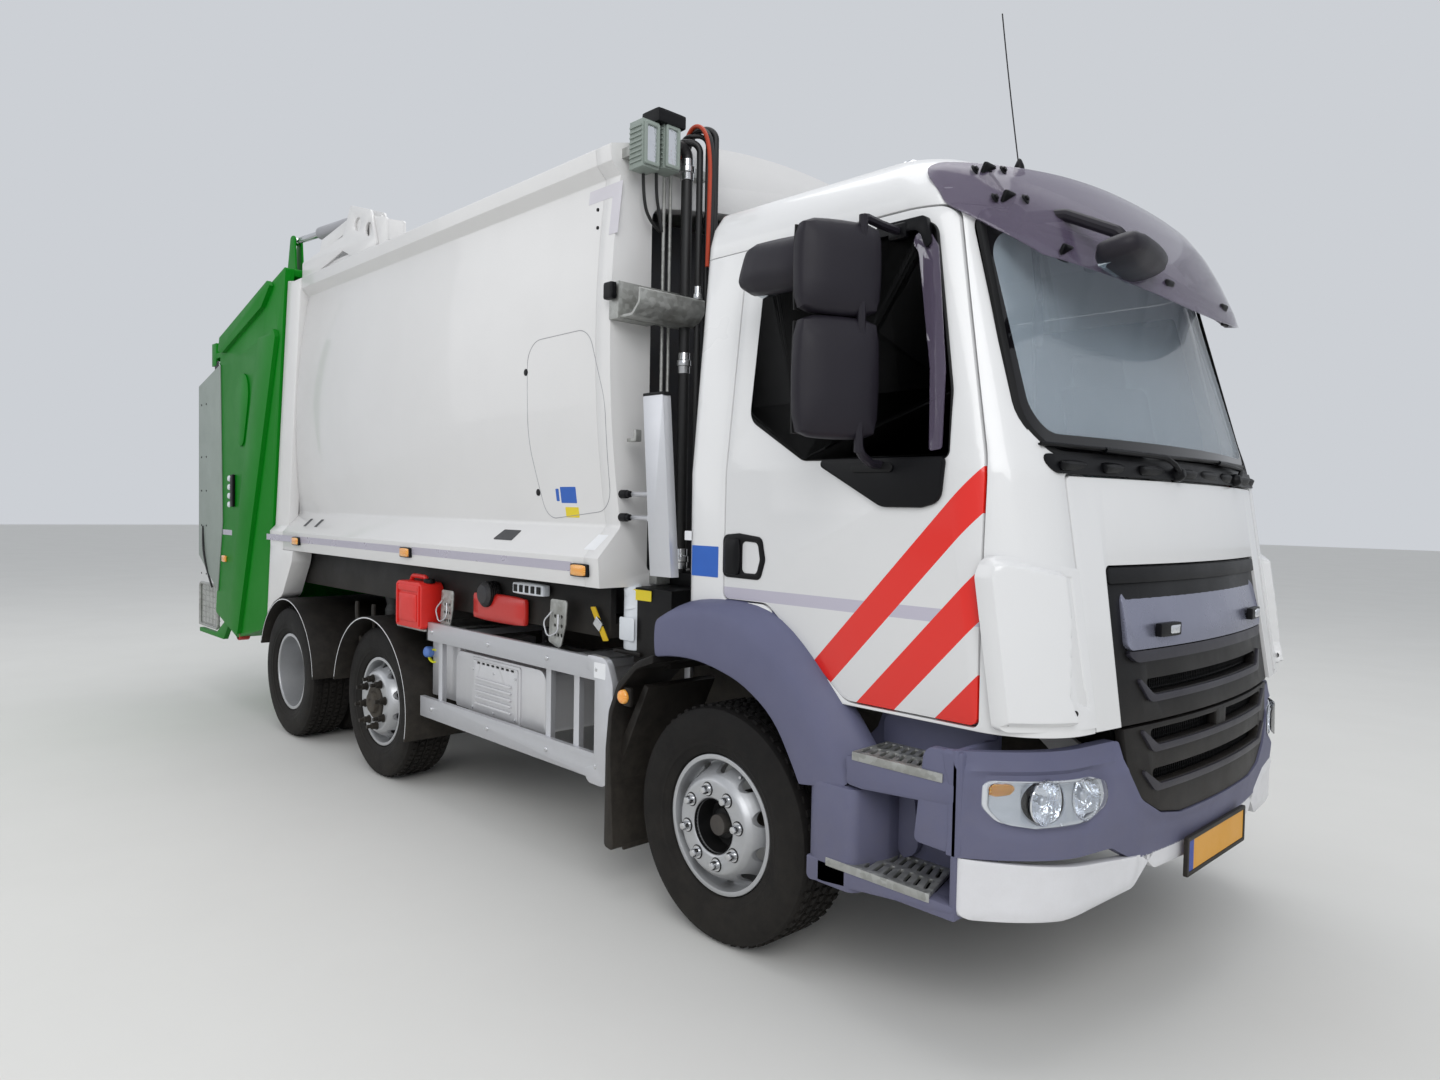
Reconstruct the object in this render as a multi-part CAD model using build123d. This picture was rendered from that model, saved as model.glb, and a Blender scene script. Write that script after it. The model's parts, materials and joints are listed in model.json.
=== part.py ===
from build123d import *
import math
import os

# A narrow three-axle refuse collection lorry: steered front axle, single-tyred middle axle,
# twin-tyred drive axle, tilting day cab, bulged load body and a tailgate hinged at the top.
# Millimetres. +X is forward, +Y is the lorry's left, +Z is up, and the ground is at z = 0.
# Lengths along X are counted from the front axle, and every finished piece is moved by
# origin_shift so that the origin lies under the middle of the whole lorry.

# Wheels and axles
tyre_radius = 445
tyre_width = 283
rim_seat_radius = 248
rim_flange_radius = 261
rim_width = 234
rim_wall = 9
hub_bolt_circle_radius = 137.5
middle_axle_x = -2890
drive_axle_x = -4220
front_wheel_y = 970
middle_wheel_y = 980
twin_outer_y = 1022
twin_spacing = 318
kingpin_y = 865
kingpin_radius = 20
running_clearance = 0.5
steering_spindle_radius = 38
wheel_z = tyre_radius

# Chassis
rail_outer_y = 430
rail_width = 70
rail_wall = 9
rail_bottom_z = 620
rail_top_z = 860
rail_front_x = 1120
rail_rear_x = -4560

# Cab
cab_wall = 45
cab_bottom_z = 985
waist_z = 1750
roof_seam_z = 2586
cab_side_y = 1065
tilt_x = 1200
tilt_z = 700
panel_gap = 7
glass_thickness = 12
glass_inset = 6
floor_bottom_z = 1100
floor_thickness = 40
tunnel_half = 370
tunnel_top_z = 1330
door_rear_x = -15
door_front_x = 1045
door_bottom_z = 1000
door_step_z = 1288
windscreen_bottom_z = 1800
windscreen_top_z = 2572
windscreen_half = 950
windscreen_lean = 58
hood_half = 812
hood_top_z = 1745
grille_half = 659
grille_flare = 18
grille_top_z = 1462
grille_depth = 60
grille_inset = 10
bulkhead_x = 1100
tilt_arm_y = 476
tilt_arm_width = 24
tilt_ear_y = 440
tilt_pin_radius = 20
vane_stand_off = 18
vane_thickness = 12
vane_low_z = 1011
vane_top_z = 1500
visor_thickness = 10
step_half = 1150

# Bumper, steps and lamps
bumper_half = 1150
bumper_wall = 40
low_grille_inset = 8
low_grille_thickness = 24
bumper_front_x = 1380
bumper_low_z = 620
bumper_top_z = 950
apron_low_z = 450
apron_wall = 25
lamp_low_z = 716
lamp_top_z = 866
lamp_inner_y = 726
lamp_outer_y = 1108
lamp_depth = 60
plate_front_x = 1376
tow_bore_radius = 20
tow_plate_top_z = 560
tow_plate_thickness = 60

# Refuse body
body_front_x = -660
front_frame_depth = 100
opening_half = 910
body_floor_z = 1050
floor_plate = 60
floor_half = 1022
subframe_half = 430
side_top_z = 3134
interface_top_x = -4300
interface_top_z = 3240
interface_slope = 0.137
rear_frame_width = 250
post_half = 900
ejector_x = -960
ejector_thickness = 60

# Tailgate and its lifting gear
tailgate_half = 1150
cheek_width = 60
tailgate_gap = 12
rib_depth = 28
hinge_x = -4400
hinge_z = 3330
hinge_pin_radius = 24
hinge_lug_radius = 48
body_lug_y = 760
lug_width = 24
lug_gap = 6
lift_pivot_x = -3400
lift_pivot_z = 3390
lift_eye_x = -4560
lift_eye_z = 3470
lift_y = 990
barrel_radius = 42
barrel_length = 700
rod_radius = 22
bin_pivot_x = -5930
bin_pivot_z = 1560
comb_half = 640
packer_pivot_x = -5250
packer_pivot_z = 2045
packer_half = 1055
packer_tube_radius = 32
step_hinge_y = 1125
step_hinge_z = 560
step_tube_radius = 14
step_rear_x = -6400
step_front_x = -5890
step_depth = 350
can_depth = 130
can_gap = 8
origin_shift = -(bumper_front_x + step_rear_x) / 2


def outline(corners, axis, at):
    """A closed wire through corners (u, v) or (u, v, radius) in the plane square to axis at that place."""
    place = {
        "x": lambda u, v: Vector(at, u, v),
        "y": lambda u, v: Vector(u, at, v),
        "z": lambda u, v: Vector(u, v, at),
    }
    to_point = place[axis]
    count = len(corners)
    starts, ends, middles = [], [], []
    for i, corner in enumerate(corners):
        here = to_point(corner[0], corner[1])
        radius = corner[2] if len(corner) > 2 else 0
        before = to_point(*corners[i - 1][:2])
        after = to_point(*corners[(i + 1) % count][:2])
        into = (here - before).normalized()
        out = (after - here).normalized()
        turn = math.radians(into.get_angle(out))
        if radius <= 0 or turn < 1e-4:
            starts.append(here)
            ends.append(here)
            middles.append(None)
            continue
        tangent = radius * math.tan(turn / 2)
        start = here - into * tangent
        end = here + out * tangent
        toward_centre = (out - into).normalized()
        centre = here + toward_centre * (radius / math.cos(turn / 2))
        starts.append(start)
        ends.append(end)
        middles.append(centre - toward_centre * radius)
    edges = []
    for i in range(count):
        if middles[i] is not None:
            edges.append(Edge.make_three_point_arc(starts[i], middles[i], ends[i]))
        following = starts[(i + 1) % count]
        if (following - ends[i]).length > 1e-3:
            edges.append(Edge.make_line(ends[i], following))
    return Wire(edges)


def prism(corners, axis, low, high):
    """The corners' outline extruded along axis from low to high."""
    direction = {"x": Vector(1, 0, 0), "y": Vector(0, 1, 0), "z": Vector(0, 0, 1)}[axis]
    return Solid.extrude(Face(outline(corners, axis, low)), direction * (high - low))


def block(x0, x1, y0, y1, z0, z1):
    return Solid.make_box(x1 - x0, y1 - y0, z1 - z0, Plane((x0, y0, z0)))


def both_sides(shape):
    """The shape and its mirror image across the lorry's centre plane, as separate solids."""
    mirrored = shape.mirror(Plane.XZ)
    return Compound([*shape.solids(), *mirrored.solids()])


def rod(start, end, radius):
    start, end = Vector(*start), Vector(*end)
    return Solid.make_cylinder(radius, (end - start).length, Plane(origin=start, z_dir=end - start))


def turned(profile, x, y, z):
    """A profile of (across, radius) corners turned about a wheel's axis, along Y through x, z."""
    edges = outline([(x + c[1], y + c[0], *c[2:]) for c in profile], "z", z)
    return Solid.revolve(Face(edges), 360, Axis((x, 0, z), (0, 1, 0)))


def fused(*shapes):
    solids = [s for shape in shapes for s in shape.solids()]
    result = solids[0].fuse(*solids[1:])
    return result


# Cab sections: height, rear x, half width, front x on the centre line, corner radius
cab_sections = [
    (cab_bottom_z, -240, cab_side_y, 1372, 240),
    (waist_z, -246, cab_side_y, 1250, 240),
    (2640, -264, 972, 978, 226),
    (2710, -272, 945, 930, 218),
    (2780, -295, 880, 840, 200),
    (2820, -360, 730, 690, 180),
]
nose_slope = 0.15
nose_radius = 3900
nose_share = 0.95
cab_rear_radius = 70


def cab_section(z, rear, half, front, radius, inset):
    """A level section of the cab: flat back and sides, round corners and a nose bowed in plan."""
    nose = min(nose_radius, nose_share * (half - radius) / nose_slope)
    bow = nose * (1 / math.cos(math.atan(nose_slope)) - 1)
    tip = front + bow - inset
    side = half - inset
    shoulder = tip - nose_slope * side
    corner_radius = radius - inset
    back_radius = cab_rear_radius - inset / 2
    back = rear + inset
    return outline(
        [
            (back, -side, back_radius),
            (shoulder, -side, corner_radius),
            (tip, 0, nose - inset),
            (shoulder, side, corner_radius),
            (back, side, back_radius),
        ],
        "z",
        z,
    )


def cab_row(z):
    """The cab's section values at any height, straight between the table's rows and upright below them."""
    rows = cab_sections
    if z <= rows[0][0]:
        return (z, *rows[0][1:])
    for below, above in zip(rows, rows[1:]):
        if z <= above[0]:
            share = (z - below[0]) / (above[0] - below[0])
            return tuple(a + (b - a) * share for a, b in zip(below, above))
    return rows[-1]


def cab_solid(inset, low_z, top_z):
    """The cab's closed form between two heights, its skin moved inwards by inset."""
    rows = [cab_row(low_z)]
    rows += [row for row in cab_sections if low_z + 1 < row[0] < top_z - 1]
    rows.append(cab_row(top_z))
    return Solid.make_loft([cab_section(*row, inset) for row in rows], True)


door_corners = [
    (door_rear_x, door_step_z, 30),
    (205, door_step_z, 80),
    (566, door_bottom_z, 80),
    (door_front_x + 10, door_bottom_z, 25),
    (door_front_x - 3, waist_z + 10, 500),
    (852, roof_seam_z - panel_gap, 60),
    (door_rear_x + 8, roof_seam_z - panel_gap, 60),
]
window_corners = [
    (108, 2525, 40),
    (96, 1955, 70),
    (370, 1800, 70),
    (925, 1792, 25),
    (915, 2000, 200),
    (806, 2520, 60),
]


def grown(corners, by):
    """Corners of a convex outline moved outwards by about that much."""
    cx = sum(c[0] for c in corners) / len(corners)
    cz = sum(c[1] for c in corners) / len(corners)
    result = []
    for c in corners:
        dx, dz = c[0] - cx, c[1] - cz
        result.append((c[0] + (by if dx > 0 else -by), c[1] + (by if dz > 0 else -by), *c[2:]))
    return result


wheel_room_corners = [(-400, 900), (-400, 1100), (250, 1100), (460, 900)]
tilt_arm_corners = [(1168, 672, 20), (1200, 664, 20), (1232, 690, 25), (1215, 735, 20), (1120, 850, 40),
                    (1040, 900, 40),
                    (985, 1130), (885, 1130), (930, 880, 40), (1080, 760, 40)]
arch_corners = [
    (-325, 1030),
    (-292, 1238, 40),
    (-121, 1280, 120),
    (235, 1235, 120),
    (569, 879, 80),
    (640, 734, 10),
    (470, 706, 10),
    (442, 800, 60),
    (262, 980, 120),
    (-59, 1066, 200),
]
liner_corners = [
    (-325, 1030),
    (-59, 1066, 200),
    (262, 980, 120),
    (442, 800, 60),
    (470, 706),
    (480, 708),
    (452, 804, 60),
    (268, 990, 120),
    (-59, 1076, 200),
    (-325, 1040),
]
dashboard_corners = [(760, 1342, 40), (740, 1540, 60), (830, 1680, 60), (1055, 1720), (1055, 1342)]
mirror_x = 700
mirror_y = 1195
mirror_turn = 24
# Mirrors, measured from the post: start of the width, end of the width, bottom z, top z
mirror_housings = [
    (-75, 190, 2225, 2490),
    (-75, 190, 1850, 2200),
]
mirror_depth = 75
# height of the arm, y where it meets the door frame
mirror_arms = [(1768, 1058), (2515, 975)]


tilt_ear_corners = [(1040, 640), (1190, 652), (1236, 680, 25), (1236, 722, 25), (1190, 745), (1040, 780)]
cross_member_places = (-700, -1300, -1900, -2450, -3400, -4520)
front_beam_corners = [(-835, wheel_z - 45), (-640, wheel_z - 45, 60), (-560, 300, 60), (560, 300, 60),
                      (640, wheel_z - 45, 60), (835, wheel_z - 45), (835, wheel_z + 45),
                      (-835, wheel_z + 45)]

middle_beam_corners = [(-925, wheel_z - 50), (-420, wheel_z - 50, 60), (-330, 300, 60), (330, 300, 60),
                       (420, wheel_z - 50, 60), (925, wheel_z - 50), (925, wheel_z + 50),
                       (380, wheel_z + 50, 60),
                       (280, 400, 60), (-280, 400, 60), (-380, wheel_z + 50, 60), (-925, wheel_z + 50)]

# outline in x and z, inner y, outer y
step_pieces = [
    ([(525, 405), (1045, 462), (1045, 500), (575, 478)], 820, step_half),
    ([(575, 470), (955, 470), (955, 486), (575, 486)], 830, step_half),
    ([(668, 834), (955, 834), (955, 850), (668, 850)], 830, step_half),
    ([(525, 405), (548, 405), (692, 700), (706, 850), (682, 850), (668, 705)], 820, step_half),
    ([(940, 462), (1045, 462), (1045, 960), (955, 960)], 820, step_half),
    ([(540, 405), (1045, 462), (1045, 960), (700, 960), (690, 700)], 800, 824),
]
mudflap_outlines = [
    [(-430, 900), (-600, 560), (-575, 195), (-563, 195), (-585, 562), (-418, 894)],
    [(-585, 562), (-430, 900), (-445, 905), (-640, 560)],
]

# Mudguards: x of the wheel, inner y, outer y, first angle and last angle from straight ahead
mudguard_radius = 492
mudguard_thickness = 14
mudguard_table = [
    (middle_axle_x, 800, 1178, -16, 172),
    (drive_axle_x, 540, 1182, 2, 163),
]

# Side guard: rail bottom z, top z, front x, rear x
guard_y = 1096
guard_rails = [(883, 979, -700, -2249), (462, 570, -700, -2330)]
guard_post_corners = [(-790, 441, 40), (-640, 441, 60), (-605, 560, 80), (-605, 880, 80), (-650, 987, 60),
                      (-790, 987, 20), (-790, 930), (-730, 900, 30), (-730, 520, 30), (-790, 500)]
guard_brackets = (-900, -1120, -2150)

# Wheel profiles: distance outwards from the tyre's middle, radius, corner radius
tyre_profile = [
    (-104, rim_seat_radius + 0.5), (104, rim_seat_radius + 0.5), (104, 263), (121, 268, 10),
    (tyre_width / 2, 335, 50),
    (139, 400, 50), (128, tyre_radius, 16), (-128, tyre_radius, 16), (-139, 400, 50),
    (-tyre_width / 2, 335, 50),
    (-121, 268, 10), (-104, 263),
]
rim_inner = rim_seat_radius - rim_wall
half_rim = rim_width / 2
barrel_profile = [
    (-half_rim, rim_inner), (-half_rim, rim_flange_radius), (-half_rim + 9, rim_flange_radius),
    (-half_rim + 11, rim_seat_radius), (half_rim - 11, rim_seat_radius), (half_rim - 9, rim_flange_radius),
    (half_rim, rim_flange_radius), (half_rim, rim_inner),
]
single_rim_profile = barrel_profile + [
    (62, rim_inner, 12), (98, 190, 20), (112, 176, 8), (112, 98), (122, 92, 4), (122, 62, 4), (156, 56, 8),
    (156, 0),
    (126, 0), (126, steering_spindle_radius + running_clearance),
    (-20, steering_spindle_radius + running_clearance),
    (-20, 80), (60, 80, 10), (100, 100), (100, 170, 8), (86, 186, 20), (50, rim_inner, 12),
]
twin_spindle_radius = 45
twin_web_profile = [(0, 90), (12, 90), (12, 186, 10), (62, 242), (48, 246), (0, 198, 12)]
twin_hub_profile = [
    (-160, twin_spindle_radius + running_clearance), (92, twin_spindle_radius + running_clearance),
    (92, 0), (112, 0),
    (112, 60, 8), (60, 68), (14, 84), (14, 95), (-160, 95),
]

# Body sections: distance from the centre plane, height, corner radius
bulge_radius = 4700
roof_radius = 3660
roof_corner_z = 3440
outer_section = [(1160, 1280), (1170, 1405, 6), (1054, 1535, 30), (1170, 2237, bulge_radius),
                 (1080, 2992, 10),
                 (1128, 3041, 8), (1135, 3109, 8), (1040, side_top_z)]
side_section = outer_section + [(1040, 2985), (1143, 2237, bulge_radius), (1027, 1525), (1027, 1280)]
roof_section = [(-1038, side_top_z), (0, roof_corner_z, roof_radius), (1038, side_top_z),
                (1038, side_top_z - 30),
                (0, roof_corner_z - 30, roof_radius), (-1038, side_top_z - 30)]
floor_top_z = body_floor_z + floor_plate
floor_section = [(-floor_half, 1290), (-floor_half, body_floor_z), (floor_half, body_floor_z),
                 (floor_half, 1290),
                 (floor_half - 30, 1290), (floor_half - 30, floor_top_z), (-floor_half + 30, floor_top_z),
                 (-floor_half + 30, 1290)]
rear_leg_corners = [(-4130, 1278), (-4151, 1203, 60), (-4330, 960, 100), (-4500, 900, 60), (-4632, 760, 20),
                    (-4566, 1300), (-4325, 1300), (-4325, 1278)]
body_lug_corners = [(-4090, 3150), (-4090, 3205), (-4370, 3378, 40), (-4440, 3378, 40), (-4448, 3290, 30),
                    (-4290, 3262), (-4288, 3150)]
bracket_corners = [(-2950, 3140), (-2950, 3300, 20), (-3390, 3414, 30), (-3935, 3351, 20), (-4050, 3140)]
bracket_windows = [
    [(-3190, 3180, 10), (-3330, 3180, 10), (-3250, 3310, 10), (-3190, 3320, 10)],
    [(-3500, 3180, 10), (-3890, 3180, 10), (-3700, 3300, 10), (-3500, 3330, 10)],
]

# Tailgate outlines in x and z
cheek_rear_corners = [(-5718, 2887, 40), (-5780, 2652, 30), (-5715, 1456, 20), (-5750, 1350, 20),
                      (-5874, 707, 30),
                      (-5333, 555, 80), (-4775, 674, 60)]
rib_corners = [(-4560, 2790), (-4480, 2820, 20), (-4440, 2760, 20), (-4820, 1720), (-5245, 590, 20),
               (-5500, 640, 20), (-5162, 1720),
               (-4790, 2790, 40)]
ledge_corners = [(-4552, 3128), (-4600, 3168, 10), (-5690, 2893, 20), (-5724, 2790, 10), (-5624, 2770),
                 (-4728, 3000, 30)]
cover_corners = [(-5718, 2887, 40), (-5780, 2652, 30), (-5762, 2300), (-5712, 2300), (-5725, 2640, 30),
                 (-5680, 2838, 40), (-4326, 3170)]
trough_corners = [(-4651, 780), (-4775, 674, 60), (-5333, 555, 80), (-5874, 707, 30), (-5752, 1345),
                  (-5700, 1345), (-5812, 745, 60), (-5333, 600, 300), (-4800, 715, 80), (-4700, 800),
                  (-4660, 1105)]
tailgate_lug_corners = [(-4330, 3200), (-4345, 3345, 30), (-4380, 3378, 30), (-4440, 3378, 30),
                        (-4480, 3170)]
lift_ear_corners = [(-4480, 3130), (-4525, 3505, 30), (-4595, 3505, 30), (-4690, 3130)]
carriage_corners = [(-4720, 3085), (-5275, 2125), (-5235, 2100), (-4660, 3095)]
packer_corners = [(-5288, 2045, 20), (-5250, 2080, 25), (-5212, 2045, 20), (-5130, 1360, 40),
                  (-5180, 1340, 10),
                  (-5250, 1800)]
screen_corners = [(-5800, 880), (-6313, 1150), (-6313, 2560), (-5740, 2690), (-5680, 1440)]
step_holder_corners = [(-6340, 500), (-5700, 500), (-5560, 640), (-5640, 660), (-5890, 532), (-6340, 532)]
bin_arm_corners = [(-5905, 1600, 20), (-5960, 1600, 20), (-6190, 1290), (-6190, 1190), (-6130, 1190),
                   (-5890, 1520, 20)]


def windscreen_corners(by):
    return [
        (-windscreen_half - by, windscreen_bottom_z - by, 150),
        (windscreen_half + by, windscreen_bottom_z - by, 150),
        (windscreen_half - windscreen_lean + by, windscreen_top_z + by, 80),
        (-windscreen_half + windscreen_lean - by, windscreen_top_z + by, 80),
    ]


def hood_corners(by):
    return [
        (-hood_half - by, cab_bottom_z - 50),
        (hood_half + by, cab_bottom_z - 50),
        (hood_half + by, hood_top_z + by, 20),
        (-hood_half - by, hood_top_z + by, 20),
    ]


def grille_corners(by):
    return [
        (-grille_half - grille_flare - by, cab_bottom_z - 50),
        (grille_half + grille_flare + by, cab_bottom_z - 50),
        (grille_half + by, grille_top_z + by, 20),
        (-grille_half - by, grille_top_z + by, 20),
    ]


def make_cab():
    low, seam, top = cab_bottom_z, roof_seam_z - panel_gap / 2, cab_sections[-1][0]
    shell = cab_solid(0, low, seam) - cab_solid(cab_wall, low - 50, seam + 50)
    glass_low, glass_top = waist_z - 50, seam - 3
    sash = cab_solid(glass_inset, glass_low, glass_top)
    sash = sash - cab_solid(glass_inset + glass_thickness, glass_low - 50, glass_top + 50)
    door_zone = prism(door_corners, "y", 600, 1300)
    door_hole = prism(grown(door_corners, panel_gap), "y", 600, 1300)
    window_zone = prism(window_corners, "y", 600, 1300)
    hood_zone = prism(hood_corners(0), "x", 800, 1500)

    door = (shell & door_zone) - window_zone
    door_pane = sash & prism(grown(window_corners, -1), "y", 600, 1300)
    screen = sash & prism(windscreen_corners(-1), "x", 800, 1500)
    hood = shell & prism(hood_corners(-panel_gap), "x", 800, 1500)
    hood = hood - prism(grille_corners(1), "x", 800, 1500)
    grille_low, grille_top = cab_bottom_z + 12, grille_top_z + 20
    grille = cab_solid(grille_inset, grille_low, grille_top)
    grille = grille - cab_solid(grille_inset + grille_depth, grille_low - 50, grille_top + 50)
    grille = grille & prism(grille_corners(0), "x", 800, 1500)

    body = shell - prism(wheel_room_corners, "y", 640, 1300) - prism(wheel_room_corners, "y", -1300, -640)
    body = body - door_hole - door_hole.mirror(Plane.XZ) - hood_zone
    body = body - prism(windscreen_corners(0), "x", 800, 1500)
    lining = cab_solid(cab_wall - 2, low, waist_z + 50)
    floor_top_z = floor_bottom_z + floor_thickness
    floor = lining & block(-500, bulkhead_x, -1400, 1400, floor_bottom_z, floor_top_z)
    bulkhead = lining & block(bulkhead_x - 40, bulkhead_x, -1400, 1400, floor_bottom_z, waist_z - 60)
    cowl = lining & block(bulkhead_x - 40, 1400, -1400, 1400, waist_z + 4, waist_z + 40)
    tunnel = block(-215, 930, -tunnel_half, tunnel_half, floor_bottom_z, tunnel_top_z)
    tunnel_room = block(-400, 900, -tunnel_half + 30, tunnel_half - 30, 900, tunnel_top_z - 30)
    arm = prism(tilt_arm_corners, "y", tilt_arm_y, tilt_arm_y + tilt_arm_width)
    pin = rod((tilt_x, tilt_ear_y, tilt_z), (tilt_x, tilt_arm_y + 5, tilt_z), tilt_pin_radius)
    frame = fused(body, floor, tunnel, bulkhead, cowl, both_sides(arm), both_sides(pin)) - tunnel_room
    door_rim = prism(grown(door_corners, panel_gap), "y", cab_side_y - cab_wall - 6, 1300)
    frame = frame - door_rim - door_rim.mirror(Plane.XZ)
    roof = cab_solid(0, roof_seam_z, top) - cab_solid(cab_wall, roof_seam_z - 50, top - cab_wall)
    vanes = cab_solid(-vane_stand_off - vane_thickness, vane_low_z, vane_top_z)
    vanes = vanes - cab_solid(-vane_stand_off, vane_low_z - 50, vane_top_z + 50)
    vanes = vanes & block(1112, 1600, 880, 1400, vane_low_z - 10, vane_top_z + 10)
    return {
        "cab_frame": frame,
        "cab_roof": roof,
        "windscreen": screen,
        "corner_vanes": both_sides(vanes),
        "front_hood": hood,
        "upper_grille": grille,
        "door_left": door,
        "door_right": door.mirror(Plane.XZ),
        "door_glass_left": door_pane,
        "door_glass_right": door_pane.mirror(Plane.XZ),
    }


def make_cab_fittings():
    """Arches, visor, mirrors and what shows through the glass."""
    arch = prism(arch_corners, "y", cab_side_y + panel_gap, step_half)
    liner = prism(liner_corners, "y", 700, cab_side_y + panel_gap)
    arch = fused(arch, liner)
    visor_low = cab_section(2500, 600, 985, 1195, 230, 0)
    visor_top = cab_section(2702, 560, 960, 1010, 230, 0)
    visor_low_in = cab_section(2500, 600, 985, 1195, 230, visor_thickness)
    visor_top_in = cab_section(2702, 560, 960, 1010, 230, visor_thickness)
    visor = (Solid.make_loft([visor_low, visor_top], True)
             - Solid.make_loft([visor_low_in, visor_top_in], True))
    visor = visor & block(880, 1600, -900, 900, 2400, 2800)
    dashboard = prism(dashboard_corners, "y", -980, 980)
    dashboard = dashboard & cab_solid(cab_wall + 10, cab_bottom_z, waist_z + 200)
    seats = []
    for seat_y in (-600, -130, 560):
        width = 210 if seat_y < 0 else 240
        cushion = prism([(0, 1340, 40), (480, 1350, 45), (470, 1460, 45), (20, 1450, 40)], "y",
                        seat_y - width, seat_y + width)
        back = prism([(-70, 1462, 20), (60, 1462, 20), (-40, 2080, 50), (-140, 2080, 50)], "y",
                     seat_y - width, seat_y + width)
        stand = block(80, 400, seat_y - 120, seat_y + 120, floor_bottom_z + floor_thickness, 1341)
        if seat_y == -130:
            stand = block(80, 400, seat_y - 120, seat_y + 120, tunnel_top_z, 1343)
        seats.append(fused(cushion, back, stand))
    wheel_plane = Plane(origin=(690, 560, 1700), z_dir=(-0.42, 0, 0.9))
    hub = Solid.make_cylinder(50, 40, wheel_plane.offset(-20))
    hoop = Solid.make_torus(205, 16, wheel_plane)
    spokes = [hub, hoop]
    for turn in (90, 210, 330):
        angle = math.radians(turn)
        direction = wheel_plane.x_dir * math.cos(angle) + wheel_plane.y_dir * math.sin(angle)
        spokes.append(rod(wheel_plane.origin, wheel_plane.origin + direction * 205, 13))
    column = rod(wheel_plane.origin, wheel_plane.origin - wheel_plane.z_dir * 230, 28)
    steering_wheel = fused(*spokes, column)
    panel = fused(dashboard, steering_wheel)
    return {
        "wheel_arches": both_sides(arch),
        "sun_visor": visor,
        "dashboard": panel,
        "seats": Compound([x for s in seats for x in s.solids()]),
    }


def make_mirrors():
    """Two housings and a wide-angle one on an arm, fixed to the door."""
    solids = []
    for start, end, low, high in mirror_housings:
        housing = block(-mirror_depth / 2, mirror_depth / 2, start, end, low, high)
        solids.append(housing.rotate(Axis.Z, mirror_turn).moved(Location((mirror_x - 30, mirror_y, 0))))
    wide = block(-30, 30, -60, 110, 2300, 2440).rotate(Axis.Z, 60)
    solids.append(wide.moved(Location((mirror_x - 260, mirror_y - 40, 0))))
    solids.append(rod((mirror_x - 270, mirror_y - 40, 2400), (mirror_x - 20, mirror_y, 2400), 14))
    post = rod((mirror_x, mirror_y, 1754), (mirror_x, mirror_y, 2529), 14)
    arms = [rod((mirror_x, mirror_y, z), (mirror_x - 10, door_arm_y, z), 14)
            for z, door_arm_y in mirror_arms]
    mirror = fused(post, *arms, *solids)
    return {"mirror_left": mirror, "mirror_right": mirror.mirror(Plane.XZ)}


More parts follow.
